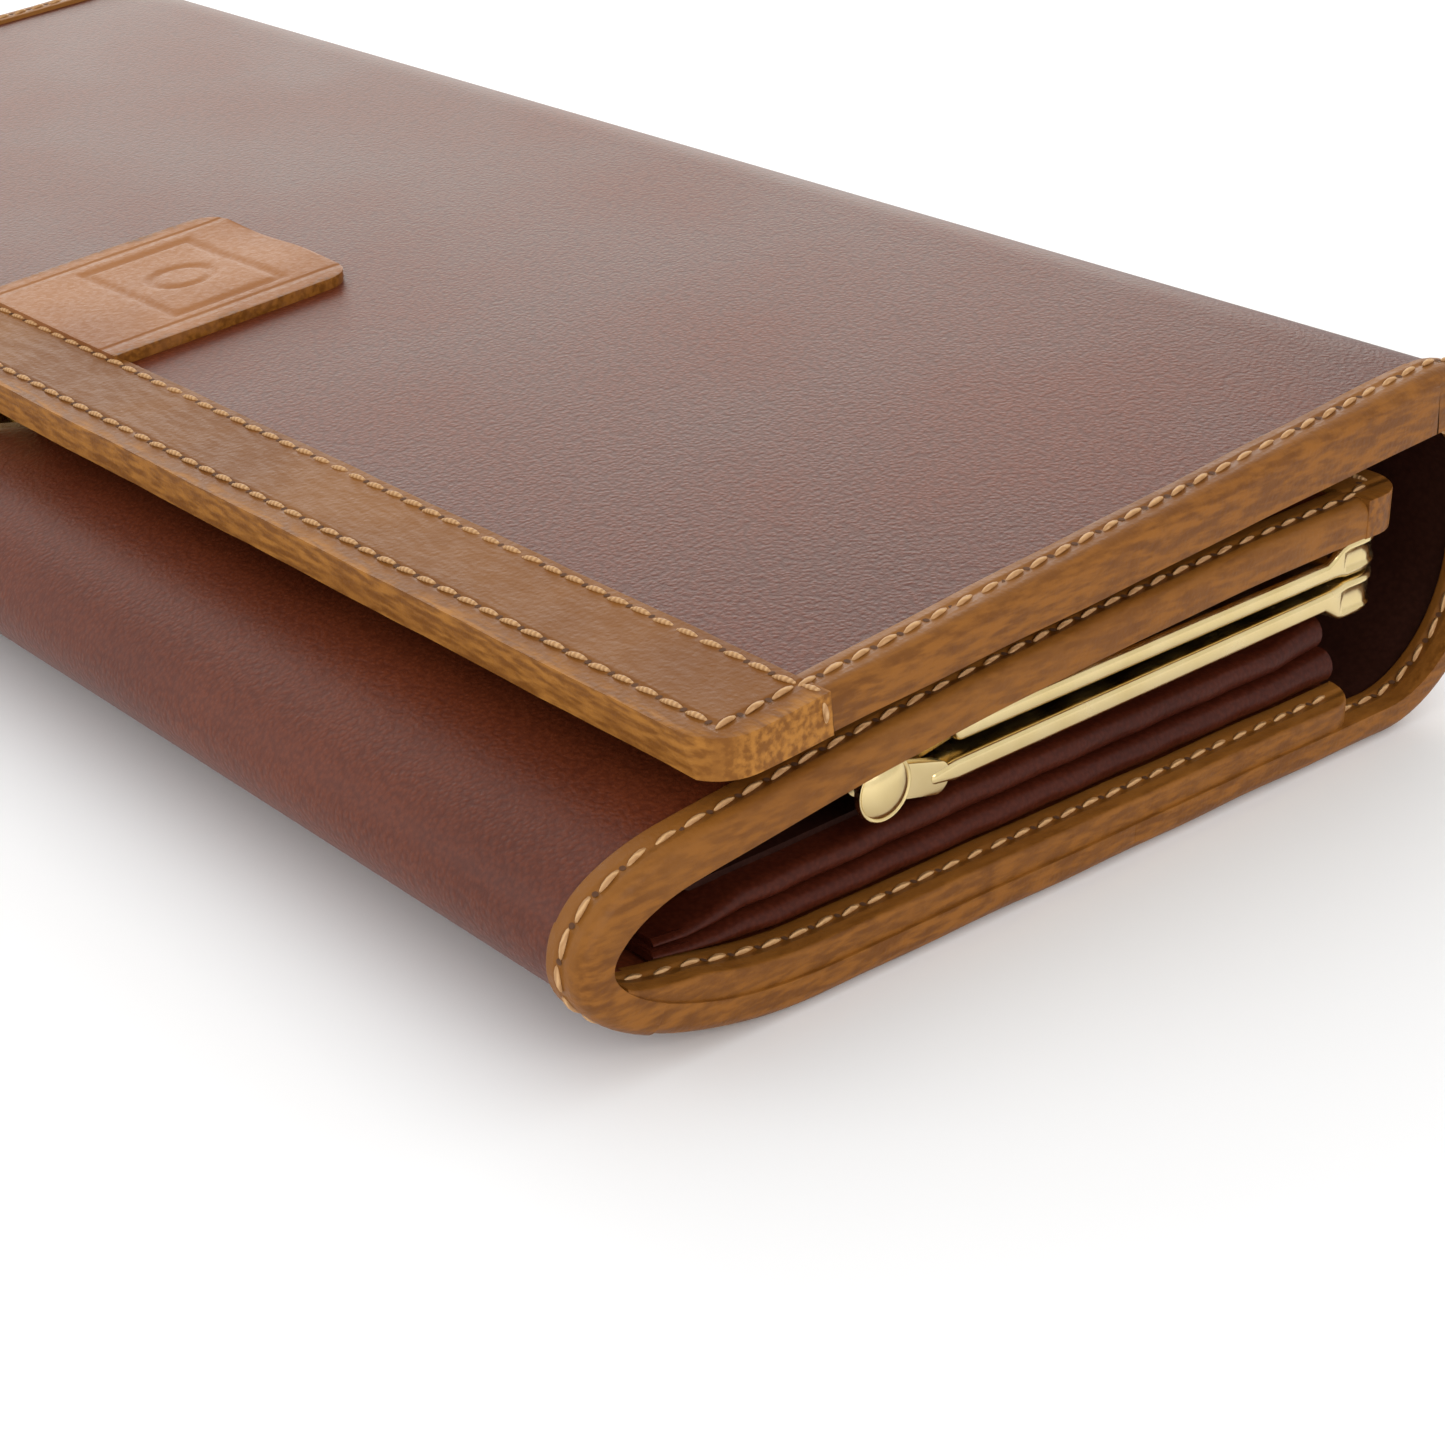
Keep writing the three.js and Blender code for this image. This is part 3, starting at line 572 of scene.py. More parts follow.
gusset_dark = brown_leather(
    "gusset leather", colour(66, 25, 13), colour(82, 34, 18), 0.42, 2.6, 0.02, 0.15
)
print("leathers:", [material.name for material in bpy.data.materials if "leather" in material.name])


# %% [markdown]
# ## Thread and metal
# The thread is thick, slightly waxed and twisted, so its colour and roughness vary along it. The
# purse frame is pressed brass with a pale gold plating: a mirror-like metal with faint polishing
# marks that break up its highlights.

# %% Thread and metal finishes
thread_mat, tree, shader, place = base_material("waxed thread", 0.55)
twist = add_node(tree, "ShaderNodeTexWave", Scale=900.0, Distortion=4.0)
tree.links.new(place, twist.inputs["Vector"])
thread_tint = mix_colour(tree, twist.outputs["Fac"], colour(172, 126, 78), colour(206, 162, 110))
tree.links.new(thread_tint, shader.inputs["Base Color"])
add_bump(tree, shader, twist.outputs["Fac"], 0.05)

# Needle holes are flat discs on the leather; their dark, mottled colour is painted shade in the holes.
hole_mat, tree, shader, place = base_material("needle hole", 0.9)
hole_shade_noise = noise(tree, place, 2000.0)
hole_tint = mix_colour(tree, hole_shade_noise, colour(70, 40, 18), colour(100, 62, 30))
tree.links.new(hole_tint, shader.inputs["Base Color"])

gold_mat, tree, shader, place = base_material("pale gold plating", 0.2, Metallic=1.0)
polish = noise(tree, place, 260.0, 6.0)
gold_tint = mix_colour(tree, polish, colour(214, 188, 126), colour(238, 218, 170))
tree.links.new(gold_tint, shader.inputs["Base Color"])
tree.links.new(ramp_between(tree, polish, 0.35, 0.7, 0.16, 0.28), shader.inputs["Roughness"])
add_bump(tree, shader, polish, 0.02)


def finish_piece(piece, material, body=None, stands_for=()):
    piece.data.materials.clear()
    piece.data.materials.append(material)
    if stands_for:
        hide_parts(*stands_for)
    if body:
        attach(piece, body)
    print(piece.name, len(piece.data.polygons), "faces")
    return piece


def bend_at(piece):
    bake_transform(piece)
    return piece


# %% [markdown]
# ## The brown shell
# Three sheets of the same hide, each across one crease, meet edge to edge on the back and halfway
# up the spine. The ends run under the tan bindings.

# %% Brown leather of the shell
SHELL, PANEL = 2.3, 2.8
FLAP_EDGE, FLAP_ROOT = 2.55, 4.7
HIDE_IN, HIDE, LINING_IN, LINING = 0.42, 0.9, 0.4, 0.8
SHEET_HALF = 92.4
BAND_EDGE = FLAP_FRONT + 9.2
MOUTH_EDGE = PANEL_END - 5.0
STRETCHES = {
    "front": after(front_stretch, MOUTH_EDGE + 1.5),
    "back": back_stretch,
    "flap": trimmed(flap_stretch, BAND_EDGE - 1.5),
}
HIDE_NODES = {
    "front": ("front_leather",),
    "back": ("back_leather", "spine_leather"),
    "flap": ("flap_leather",),
}
for crease, path in STRETCHES.items():
    sheet = sweep("shell_leather_" + crease, inset(path, HIDE_IN), -SHEET_HALF, SHEET_HALF, 24)
    thicken(sheet, HIDE)
    smooth(sheet)
    finish_piece(sheet, hide_brown, None, HIDE_NODES[crease])
    bend_at(sheet)


# %% [markdown]
# ## Linings
# The inside is smooth dark leather. It lies against the hide and stops inside the bindings.

# %% Linings
BEND_START = TOP_ARC.x - 1.0


def shell_thickness(crease, p):
    """Thickness of the bound edge at a point (y, z) of the shell, in mm."""
    if crease == "front":
        share = share_of(p.y, 3, 9) if p.x < -20 else (1.0 if p.y > 6 else 0.0)
        return SHELL + (PANEL - SHELL) * share
    if crease == "flap":
        bend = share_of(p.y, 17, 9) if p.x > BEND_START else 1.0
        full = FLAP_EDGE + (FLAP_ROOT - FLAP_EDGE) * share_of(p.x, FLAP_FRONT, BEND_START - FLAP_FRONT)
        return SHELL + (full - SHELL) * bend
    return SHELL


LINING_NODES = {
    "front": ("front_lining",),
    "back": ("back_lining", "spine_lining"),
    "flap": ("flap_lining",),
}
for crease, path in STRETCHES.items():
    deep = inset(path, lambda p: shell_thickness(crease, p) - LINING_IN - LINING)
    sheet = sweep("shell_lining_" + crease, deep, -SHEET_HALF, SHEET_HALF, 24)
    thicken(sheet, LINING)
    smooth(sheet)
    finish_piece(sheet, lining_dark, None, LINING_NODES[crease])
    bend_at(sheet)


# %% [markdown]
# ## Side bindings
# A strip of tan leather is folded round each end of the shell. Its outer edge is fat and rounded,
# its inner edge is cut square and stands a little above the brown leather. It is a sheet as wide
# as the binding with the full thickness of the edge, bevelled wide outside and finely inside.

# %% Side bindings of the shell
BIND = 3.2


def bound_strip(name, path, x0, x1, thickness):
    """A binding strip; thickness(point) in mm; the edge at x1 is the rubbed outer one."""
    widest = max(thickness(p) for p in path)
    strip = sweep(name, path, x0, x1, 3)

    def share(co):
        here = Vector((co.y, co.z)) / MM
        near = min(path, key=lambda p: (p - here).length_squared)
        return thickness(near) / widest

    thicken(strip, widest, share)
    outer = max(x0, x1, key=abs)
    inner = min(x0, x1, key=abs)

    def outside_edge(p):
        if abs(p.x / MM - outer) > 0.02:
            return False
        here = Vector((p.y, p.z)) / MM
        return min((q - here).length for q in path) < 0.4

    bevel_where(strip, outside_edge, 1.15, 6)
    bevel_where(strip, lambda p: abs(p.x / MM - outer) < 0.02, 0.5, 4)
    bevel_where(strip, lambda p: abs(p.x / MM - inner) < 0.02, 0.18, 2)
    smooth(strip, 50)
    return strip


PANEL_IN = 0.45  # how far the front panel's ends stand in from the back's
BIND_RUNS = {
    "front": (after(front_stretch, MOUTH_EDGE + 0.9), "front", "front_binding"),
    "back": (back_stretch, "back", "back_binding"),
    "spine": (flap_stretch[:20], "flap", "spine_binding"),
    "flap": (trimmed(flap_stretch[19:], BAND_EDGE - 1.2), "flap", "flap_binding"),
}


def draw_in(run, co):
    """How far a point of a binding stands in from the wallet's end, mm."""
    if run == "front":
        rise = share_of(co.z / MM, NOSE.y, 5)
        return PANEL_IN * rise * rise * (3 - 2 * rise)
    return 0.0


for run, (path, crease, node) in BIND_RUNS.items():
    for side_name, s in SIDES:
        strip = bound_strip(
            "binding_" + run + "_" + side_name,
            path,
            s * (HALF - BIND),
            s * HALF,
            lambda p: shell_thickness(crease, p),
        )
        for v in strip.data.vertices:
            v.co.x -= s * draw_in(run, v.co) * MM
        finish_piece(uneven(strip, 0.03), tan_end, None, (node + "_" + side_name,))
        bend_at(strip)
print("bindings:", len(BIND_RUNS) * 2)

# %% [markdown]
# Each front binding is made of two strips. The upper one laps over the lower one just under the
# nose, where its end shows as a small step that fades out upward.

# %% Lap of the front bindings
LAP_TOP, LAP_END, LAP_STEP = 9.5, 2.6, 0.1
lap_line = [p for p in nose_line if p.y > LAP_END and p.x < -38]
lap_line = [p for p in panel_line[-10:-1] if p.y < LAP_TOP + 2] + lap_line


def lap_lift(p):
    return LAP_STEP * min(max((LAP_TOP - p.y) / (LAP_TOP - LAP_END), 0.02), 1.0)


for side_name, s in SIDES:
    lap = bound_strip(
        "binding_lap_" + side_name,
        inset(lap_line, lambda p: -lap_lift(p)),
        s * (HALF - BIND - 0.12),
        s * (HALF + LAP_STEP),
        lambda p: shell_thickness("front", p) + 2 * lap_lift(p),
    )
    for v in lap.data.vertices:
        v.co.x -= s * draw_in("front", v.co) * MM
        if abs(v.co.x) > (HALF - 1.5) * MM:
            v.co.x -= s * (LAP_STEP - lap_lift(v.co.yz / MM)) * MM
    finish_piece(lap, tan_end, None)
    bend_at(lap)


# %% [markdown]
# ## Flap front band and mouth binding
# The flap's free edge is wrapped in a broad band of tan leather with rounded corners that laps
# over the side bindings. The front panel's mouth has a narrower one. Both are a sheet with a wall
# and bevelled rims, whose last rows are then drawn in so that the two free corners turn round.

# %% Broad bands
def broad_band(name, path, half, corner, thickness, lift, rim=1.15):
    """A band across the whole length; its last edge is the rubbed one with round corners."""
    raised = fine_end(inset(path, -lift), corner)
    edge = raised[-1].x
    widest = max(thickness(p) for p in path) + 2 * lift
    band = sweep(name, raised, -half, half, 60)
    thin, thick = thickness(path[-1]) + 2 * lift, thickness(path[0]) + 2 * lift

    def share(co):
        t = (co.y / MM - edge) / (path[0].x - edge)
        return min((thin + (thick - thin) * t) / widest, 1.0)

    thicken(band, widest, share)
    inner = path[0].x

    def outside(p):
        return abs(p.y / MM - inner) > 0.6 or abs(abs(p.x) / MM - half) < 0.02

    bevel_where(band, outside, rim, 5)
    bevel_where(band, lambda p: abs(p.y / MM - inner) < 0.6 and abs(p.x) / MM < half - 1.6, 0.12, 2)
    round_plan(band, half, edge, corner)
    smooth(band, 50)
    return uneven(band, 0.03)


flap_band_path = after(flap_stretch, BAND_EDGE)
flap_band = broad_band(
    "flap_front_band_leather",
    flap_band_path,
    HALF + 0.12,
    3.6,
    lambda p: shell_thickness("flap", p),
    0.12,
)
finish_piece(flap_band, tan_flap, "flap", ("flap_front_band",))

# The mouth edge runs the other way, so its wall is laid below a path lifted by its own thickness.
mouth_under = inset(panel_line, PANEL + 0.08)
mouth_path = [Vector((MOUTH_EDGE, height_on(mouth_under, MOUTH_EDGE)))]
mouth_path += [p for p in mouth_under[::-1] if p.x > MOUTH_EDGE + 0.3]
mouth_band = broad_band(
    "front_mouth_leather", mouth_path, HALF - 0.4, 3.6, lambda p: PANEL + 0.16, 0.0, 1.1
)
finish_piece(mouth_band, tan_mouth, "front_panel", ("front_mouth_binding",))


# %% [markdown]
# ## Inner leaf
# A stiff leaf of brown leather lies inside on the back. Its ends are bound in tan and its free
# corners are round.

# %% Inner leaf
LEAF_START, LEAF_END, LEAF = -41.0, 30.0, 1.7
LEAF_CORNER, LEAF_BIND_IN, LEAF_BIND_OUT = 3.4, 91.4, 94.75
on_lining = inset(chain(nose_line, back_line), SHELL - 0.02)
leaf_line = [p for p in on_lining if LEAF_START < p.x < LEAF_END]
leaf_line = leaf_line + [Vector((LEAF_END, leaf_line[-1].y))]


def leaf_rise(co):
    """The leaf thins out to its front edge, where it runs into the fold."""
    return min(max((co.y / MM - LEAF_START + 1.2) / 7.0, 0.12), 1.0)


leaf_sheet = sweep("leaf_sheet", inset(leaf_line, 0.35), -91.9, 91.9, 20)
thicken(leaf_sheet, 1.0, leaf_rise)
smooth(leaf_sheet)
finish_piece(leaf_sheet, hide_brown, "back", ("leaf_panel",))

leaf_edge = fine_end(leaf_line, LEAF_CORNER)
for side_name, s in SIDES:
    strip = sweep("leaf_binding_leather_" + side_name, leaf_edge, s * LEAF_BIND_IN, s * LEAF_BIND_OUT, 4)
    thicken(strip, LEAF + 0.1, leaf_rise)

    def top_edge(p):
        low = height_on(leaf_edge, p.y / MM)
        return low is not None and p.z / MM > low + 0.15 and abs(p.x / MM) > 94

    bevel_where(strip, top_edge, 0.75, 5)
    bevel_where(strip, lambda p: abs(p.x / MM) < LEAF_BIND_IN + 0.2, 0.15, 2)
    for v in strip.data.vertices:
        depth = LEAF_CORNER - (LEAF_END - v.co.y / MM)
        across = (abs(v.co.x) / MM - LEAF_BIND_IN) / (LEAF_BIND_OUT - LEAF_BIND_IN)
        if depth > 0:
            reach = math.sqrt(max(LEAF_CORNER**2 - depth**2, 0)) - LEAF_CORNER
            v.co.x += s * reach * across * MM
    smooth(strip, 50)
    finish_piece(uneven(strip, 0.03), tan_end, "back", ("leaf_binding_" + side_name,))


# %% [markdown]
# ## Label tab
# A small tongue of tan leather comes out from under the front band. It has a blind-stamped frame
# with a plain ring, pressed into the leather without colour.

# %% Label tab
def flap_top(y, above=0.0):
    return height_on(flap_line, y) + above


TAB_HALF, TAB_LENGTH = 11.4, 22.6
TAB_END = BAND_EDGE + TAB_LENGTH
tab_rows = [BAND_EDGE - 0.8 + (TAB_LENGTH + 0.8) * i / 90 for i in range(91)]
tab_path = [Vector((y, flap_top(y) + 0.62)) for y in tab_rows]
tab = sweep("label_tab_leather", tab_path[::-1], -TAB_HALF, TAB_HALF, 90)


def stamped(x, y):
    """Depth of the blind stamp, in mm: a frame round a ring."""
    x, y = x / MM, y / MM - (BAND_EDGE + 12.4)
    frame_line = abs(max(abs(x) - 7.6, abs(y) - 5.2))
    ring = abs(math.hypot(x, y) - 2.6)
    nearest = min(frame_line, ring)
    return 0.24 * math.exp(-((nearest / 0.42) ** 2))


for v in tab.data.vertices:
    v.co.z -= stamped(v.co.x, v.co.y) * MM
    v.co.z += 0.12 * math.sin(v.co.x / MM * 0.35) * MM * min((v.co.y / MM - BAND_EDGE) / 12, 1)
thicken(tab, 1.0)
bevel_where(tab, anywhere, 0.3, 3)
round_plan(tab, TAB_HALF, TAB_END, 2.6)
smooth(tab, 50)
finish_piece(tab, tan_tab, "flap", ("label_tab",))


# %% [markdown]
# ## Stitches
# Every bound edge is sewn with thick pale thread. One stitch is a short fat bead of thread that
# dips into the leather at both ends, with a small needle hole between one stitch and the next: a
# flat disc whose dark colour is painted shade. It is modelled once and copied along each row, a
# little turned and out of line each time, as on hand-guided sewing.

# %% One stitch
PITCH = 2.3
STITCH_WIDTH, STITCH_HEIGHT = 0.44, 0.4
STITCH_TURN, STITCH_WANDER = 9, 0.04  # degrees off the row, mm off its line
STITCH_DIP, STITCH_LIFT = 0.16, 0.12  # how far its ends dip and its middle stands up
HOLE_RADIUS, HOLE_LIFT = 0.26, 0.03
deselect_all()
bpy.ops.mesh.primitive_uv_sphere_add(segments=8, ring_count=6, radius=0.5, location=(0, 0, 0))
bead = bpy.context.object
bead.name = "one_stitch"
bpy.ops.object.mode_set(mode="EDIT")
bpy.ops.mesh.select_all(action="SELECT")
bpy.ops.transform.rotate(value=math.pi / 2, orient_axis="Y", center_override=(0, 0, 0))
bpy.ops.transform.resize(value=(PITCH * 0.84, STITCH_WIDTH, STITCH_HEIGHT), center_override=(0, 0, 0))
bpy.ops.object.mode_set(mode="OBJECT")
bead_points = [v.co.copy() for v in bead.data.vertices]
bead_faces = [tuple(f.vertices) for f in bead.data.polygons]
bpy.data.objects.remove(bead)

deselect_all()
bpy.ops.mesh.primitive_circle_add(vertices=8, radius=HOLE_RADIUS, fill_type="NGON")
pit = bpy.context.object
pit_points = [v.co.copy() for v in pit.data.vertices]
pit_faces = [tuple(f.vertices) for f in pit.data.polygons]
bpy.data.objects.remove(pit)
print("one stitch:", len(bead_faces), "faces")


def along(points, distance):
    for a, b in zip(points, points[1:]):
        step = (b[0] - a[0]).length
        if distance <= step:
            t = distance / step if step else 0
            return a[0].lerp(b[0], t), (b[0] - a[0]).normalized(), a[1].lerp(b[1], t).normalized()
        distance -= step
    a, b = points[-2], points[-1]
    return b[0].copy(), (b[0] - a[0]).normalized(), b[1].copy()


def sew(name, points, body=None, crease=None, sink=0.05):
    """Lays stitches along points of (place, surface normal) in mm, and needle holes between."""
    total = sum((b[0] - a[0]).length for a, b in zip(points, points[1:]))
    count = max(1, round(total / PITCH))
    step = total / count
    verts, faces, marks = [], [], []
    for i in range(count):
        place, tangent, normal = along(points, (i + 0.5) * step)
        across = normal.cross(tangent).normalized()
        turn = math.radians(STITCH_TURN + random.uniform(-3, 3))
        run = (tangent * math.cos(turn) + across * math.sin(turn)).normalized()
        across = normal.cross(run).normalized()
        place = place + across * random.uniform(-STITCH_WANDER, STITCH_WANDER)
        length = step / PITCH * random.uniform(0.95, 1.03)
        base = len(verts)
        for p in bead_points:
            arch = STITCH_LIFT - sink - STITCH_DIP * (2 * p.x / PITCH) ** 2
            spot = place + run * p.x * length + across * p.y + normal * (p.z + arch)
            verts.append(spot * MM)
        faces += [tuple(base + k for k in f) for f in bead_faces]
        marks += [0] * len(bead_faces)
    # Needle holes between the stitches: flat discs whose dark colour is painted shade.
    for i in range(1, count):
        place, tangent, normal = along(points, i * step)
        across = normal.cross(tangent).normalized()
        base = len(verts)
        for p in pit_points:
            spot = place + tangent * p.x * 0.8 + across * p.y + normal * HOLE_LIFT
            verts.append(spot * MM)
        faces += [tuple(base + k for k in f) for f in pit_faces]
        marks += [1] * len(pit_faces)
    mesh = bpy.data.meshes.new(name)
    mesh.from_pydata(verts, [], faces)
    mesh.materials.append(thread_mat)
    mesh.materials.append(hole_mat)
    mesh.polygons.foreach_set("material_index", marks)
    mesh.polygons.foreach_set("use_smooth", [m == 0 for m in marks])
    row = bpy.data.objects.new(name, mesh)
    bpy.context.scene.collection.objects.link(row)
    if crease:
        bend_at(row)
    else:
        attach(row, body)
    return count


# %% [markdown]
# Rows follow the profile at a fixed distance from the ends, on the outside and on the inside of
# each binding. The flap's front band has two rows along its length and a short one at each corner.

# %% Rows along the side bindings
def profile_row(path, x, depth, outward):
    """Points and normals along a profile, on its outer face or at a depth on its inner face."""
    row = []
    for i, p in enumerate(path):
        before, ahead = path[max(i - 1, 0)], path[min(i + 1, len(path) - 1)]
        tangent = (ahead - before).normalized()
        left = Vector((-tangent.y, tangent.x))
        d = depth(p) if callable(depth) else depth
        spot = p + left * d
        normal = -left if outward else left
        row.append((Vector((x, spot.x, spot.y)), Vector((0, normal.x, normal.y))))
    return row


stitches = 0
for run, (path, crease, node) in BIND_RUNS.items():
    for side_name, s in SIDES:
        x = s * (HALF - STITCH_IN)
        rows = {
            "outer": profile_row(path, x, 0.0, True),
            "inner": profile_row(path, x, lambda p: shell_thickness(crease, p), False),
        }
        for face, points in rows.items():
            stitches += sew("stitches_" + run + "_" + face + "_" + side_name, points, None, crease)
print("stitches on the sides:", stitches)


# %% Rows on the flap band, the mouth and the leaf
def top_point(x, y, lift=0.12):
    normal = Vector((0, -FLAP_SLOPE, 1)).normalized()
    return Vector((x, y, flap_top(y) + lift)), normal


OUTER_ROW, INNER_ROW = FLAP_FRONT + 1.95, FLAP_FRONT + 8.35
END_ROW = HALF - STITCH_IN
outer_run = [top_point(END_ROW, INNER_ROW), top_point(END_ROW, OUTER_ROW + 0.5)]
outer_run += [top_point(END_ROW - 0.5, OUTER_ROW)]
outer_run += [(Vector((-p[0].x, p[0].y, p[0].z)), p[1]) for p in outer_run[::-1]]
sew("stitches_band_outer", outer_run, "flap")
sew("stitches_band_inner", [top_point(END_ROW, INNER_ROW), top_point(-END_ROW, INNER_ROW)], "flap")

for side_name, s in SIDES:
    lap_top, up = top_point(s * END_ROW, BAND_EDGE - 0.45)
    side_x = s * (HALF + 0.12)
    over = [
        (lap_top, up),
        (Vector((s * (HALF - 0.6), lap_top.y, lap_top.z - 0.1)), Vector((s, 0, 1)).normalized()),
        (Vector((side_x, lap_top.y, lap_top.z - 1.0)), Vector((s, 0, 0.2)).normalized()),
        (Vector((side_x, lap_top.y, lap_top.z - 2.2)), Vector((s, 0, 0))),
    ]
    sew("stitches_lap_" + side_name, over, "flap")


def under_point(x, y):
    normal = Vector((0, FLAP_SLOPE, -1)).normalized()
    spot = Vector((y, flap_top(y)))
    return Vector((x, y, spot.y - shell_thickness("flap", spot) - 0.12)), normal


under_run = [under_point(END_ROW, INNER_ROW), under_point(END_ROW, OUTER_ROW)]
under_run += [under_point(-END_ROW, OUTER_ROW), under_point(-END_ROW, INNER_ROW)]
sew("stitches_band_under_outer", under_run, "flap")
under_inner = [under_point(END_ROW, INNER_ROW), under_point(-END_ROW, INNER_ROW)]
sew("stitches_band_under_inner", under_inner, "flap")


def mouth_point(x, y, below=False):
    z = height_on(panel_line, y)
    slope = (height_on(panel_line, y - 1) - height_on(panel_line, y - 3)) / 2
    normal = Vector((0, -slope, 1)).normalized()
    if below:
        return Vector((x, y, z)) - normal * (PANEL + 0.08), -normal
    return Vector((x, y, z)) + normal * 0.08, normal


for face, below in (("top", False), ("under", True)):
    ends = HALF - 0.5 - STITCH_IN
    run = [mouth_point(ends, MOUTH_EDGE + 0.2, below), mouth_point(ends, PANEL_END - 3.4, below)]
    run += [mouth_point(ends - 1.4, PANEL_END - STITCH_IN, below)]
    run += [(Vector((-p[0].x, p[0].y, p[0].z)), p[1]) for p in run[::-1]]
    sew("stitches_mouth_" + face, run, "front_panel")

for side_name, s in SIDES:
    run = []
    for place, normal in profile_row(leaf_line[1:-1], s * 92.9, 0.0, False):
        rise = (LEAF + 0.1) * leaf_rise(place * MM)
        run.append((place + normal * rise, normal))
    sew("stitches_leaf_" + side_name, run, "back")

# %% [markdown]
# ## Accordion gussets
# At each end, folds of dark leather fill the space between the leaf, the coin purse and the front
# panel. Seen from the end each fold is a rounded ridge that tapers toward the front fold. A fold
# is an edge laid along Y and extruded through a hairpin, then squeezed between the two sheets it
# joins.

# %% Gusset folds
PURSE_Y = (-31.0, -24.0, -8.0, 24.0, 31.2)
PURSE_LOW = (8.0, 8.1, 8.6, 9.0, 10.6)
PURSE_TOP = (8.9, 10.5, 13.9, 14.9, 14.4)
low_sheet = [Vector(p) for p in zip(PURSE_Y, PURSE_LOW)]
top_sheet = [Vector(p) for p in zip(PURSE_Y, PURSE_TOP)]
leaf_top = [p + Vector((0, (LEAF + 0.1) * leaf_rise(Vector((0, p.x, 0)) * MM) + 0.1)) for p in leaf_line]
panel_under = inset(panel_line, PANEL + 0.15)


def gusset_fold(name, low, high, x_out, deep, y0, y1, s, wall=0.55):
    """A hairpin fold, round side outward, between heights low(y) and high(y)."""
    cuts = 26
    hairpin = [Vector((x_out - deep, 0.0))]
    turns = 8
    for i in range(turns + 1):
        a = -math.pi / 2 + math.pi * i / turns
        hairpin.append(Vector((x_out - 1 + math.cos(a), 0.5 + 0.5 * math.sin(a))))
    hairpin.append(Vector((x_out - deep, 1.0)))
    deselect_all()
    fold = sweep(name, [Vector((p.x, p.y * 10)) for p in hairpin], y0, y1, cuts)
    for v in fold.data.vertices:
        along_y, across_x, share = v.co.x, v.co.y, v.co.z / (10 * MM)
        y = along_y / MM
        ripple = 0.12 * math.sin(y * 0.9) * math.sin(math.pi * share)
        z = low(y) + share * (high(y) - low(y))
        v.co = Vector((s * (across_x + ripple * MM), along_y, z * MM))
    activate(fold)
    on_whole_mesh(bpy.ops.mesh.normals_make_consistent, inside=False)
    outer = max(fold.data.polygons, key=lambda f: abs(f.center.x))
    if outer.normal.x * s < 0:
        on_whole_mesh(bpy.ops.mesh.flip_normals)
    thicken(fold, wall)
    smooth(fold, 60)
    return fold


def between(y, share):
    """Height between the leaf and the purse; both folds run together toward the front fold."""
    low = height_on(leaf_top, y)
    full = height_on(low_sheet, max(y, PURSE_Y[0])) - 0.45 - height_on(leaf_top, max(y, PURSE_Y[0]))
    closing = min(max((y + 38.0) / 9.0, 0.3), 1.0)
    return low + share * full * closing


# Heights of the fold's two sides, its outermost X, its depth, and the Y it runs between.
FOLDS = {
    "gusset_lower": (lambda y: between(y, 0.0), lambda y: between(y, 0.48), 91.9, 6.0, -36.5, 29.4),
    "gusset_upper": (lambda y: between(y, 0.52), lambda y: between(y, 1.0), 91.3, 6.0, -36.0, 28.6),
    "gusset_purse": (
        lambda y: height_on(low_sheet, y) + 0.4,
        lambda y: height_on(top_sheet, y) - 0.4,
        87.1,
        4.0,
        -28.0,
        -20.2,
    ),
}
for name, values in FOLDS.items():
    for side_name, s in SIDES:
        fold = gusset_fold(name + "_leather_" + side_name, *values, s)
        finish_piece(fold, gusset_dark, "back", (name + "_" + side_name,))
for side_name, s in SIDES:
    fold = gusset_fold(
        "gusset_front_leather_" + side_name,
        lambda y: height_on(top_sheet, y) + 0.6,
        lambda y: height_on(panel_under, y) - 0.1,
        87.1,
        6.0,
        -28.0,
        26.4,
        s,
        0.3,
    )
    finish_piece(fold, gusset_dark, "front_panel", ("gusset_front_" + side_name,))

# %% [markdown]
# ## Coin purse
# The purse has two sheets of dark leather held by the two halves of the frame. They meet at the
# bottom in front of the hinge.

# %% Purse leather
HINGE = Vector((-18.2, 11.9))
split_low, split_top = HINGE.x - 0.6, HINGE.x + 0.6
lower_path = low_sheet[::-1] + [Vector((-31.7, 8.45)), top_sheet[0], top_sheet[1]]
lower_path += [Vector((split_low, height_on(top_sheet, split_low)))]
upper_path = [Vector((split_top, height_on(top_sheet, split_top)))] + top_sheet[2:]
for name, path, body, node in (
    ("purse_lower_sheet", lower_path, "back", "purse_lower_leather"),
    ("purse_upper_sheet", upper_path, "purse_frame", "purse_upper_leather"),
):
    sheet = sweep(name, path, -88.8, 88.8, 20)
    thicken(sheet, 0.5)
    smooth(sheet, 60)
    finish_piece(sheet, lining_dark, body, (node,))

# %% [markdown]
# ## Purse frame
# Each half of the frame is a pressed strip: a flat section is extruded along one arm, flared into
# the corner bracket, spun round the corner and taken across the mouth. Its other end is its mirror
# image. The outer side of each bracket has a shallow pressed recess.

# %% Frame halves
FRAME_HALF, ARM_DEPTH, RAIL = 92.4, 2.8, 1.6
ARM_START, CORNER_START, BAR_END = -11.0, 28.0, 35.2
FRAME_CORNER = 4.0
TIP = 0.6  # the lower rail's thin front end, as a share of its height
FLARE = ((0.8, 0.5, 1.3), (0.8, 0.5, 1.3), (0.6, 0.0, 1.12))  # run, share of the rise, swell


def rail_section(x0, x1, y, z0, z1):
    deselect_all()
    bpy.ops.mesh.primitive_plane_add(size=1, location=(0, 0, 0))
    section = bpy.context.object
    bpy.ops.object.mode_set(mode="EDIT")
    bpy.ops.mesh.select_all(action="SELECT")
    bpy.ops.transform.rotate(value=math.pi / 2, orient_axis="X", center_override=(0, 0, 0))
    bpy.ops.transform.resize(value=((x1 - x0) * MM, 1, (z1 - z0) * MM), center_override=(0, 0, 0))
    bpy.ops.transform.translate(value=((x0 + x1) / 2 * MM, y * MM, (z0 + z1) / 2 * MM))
    return section


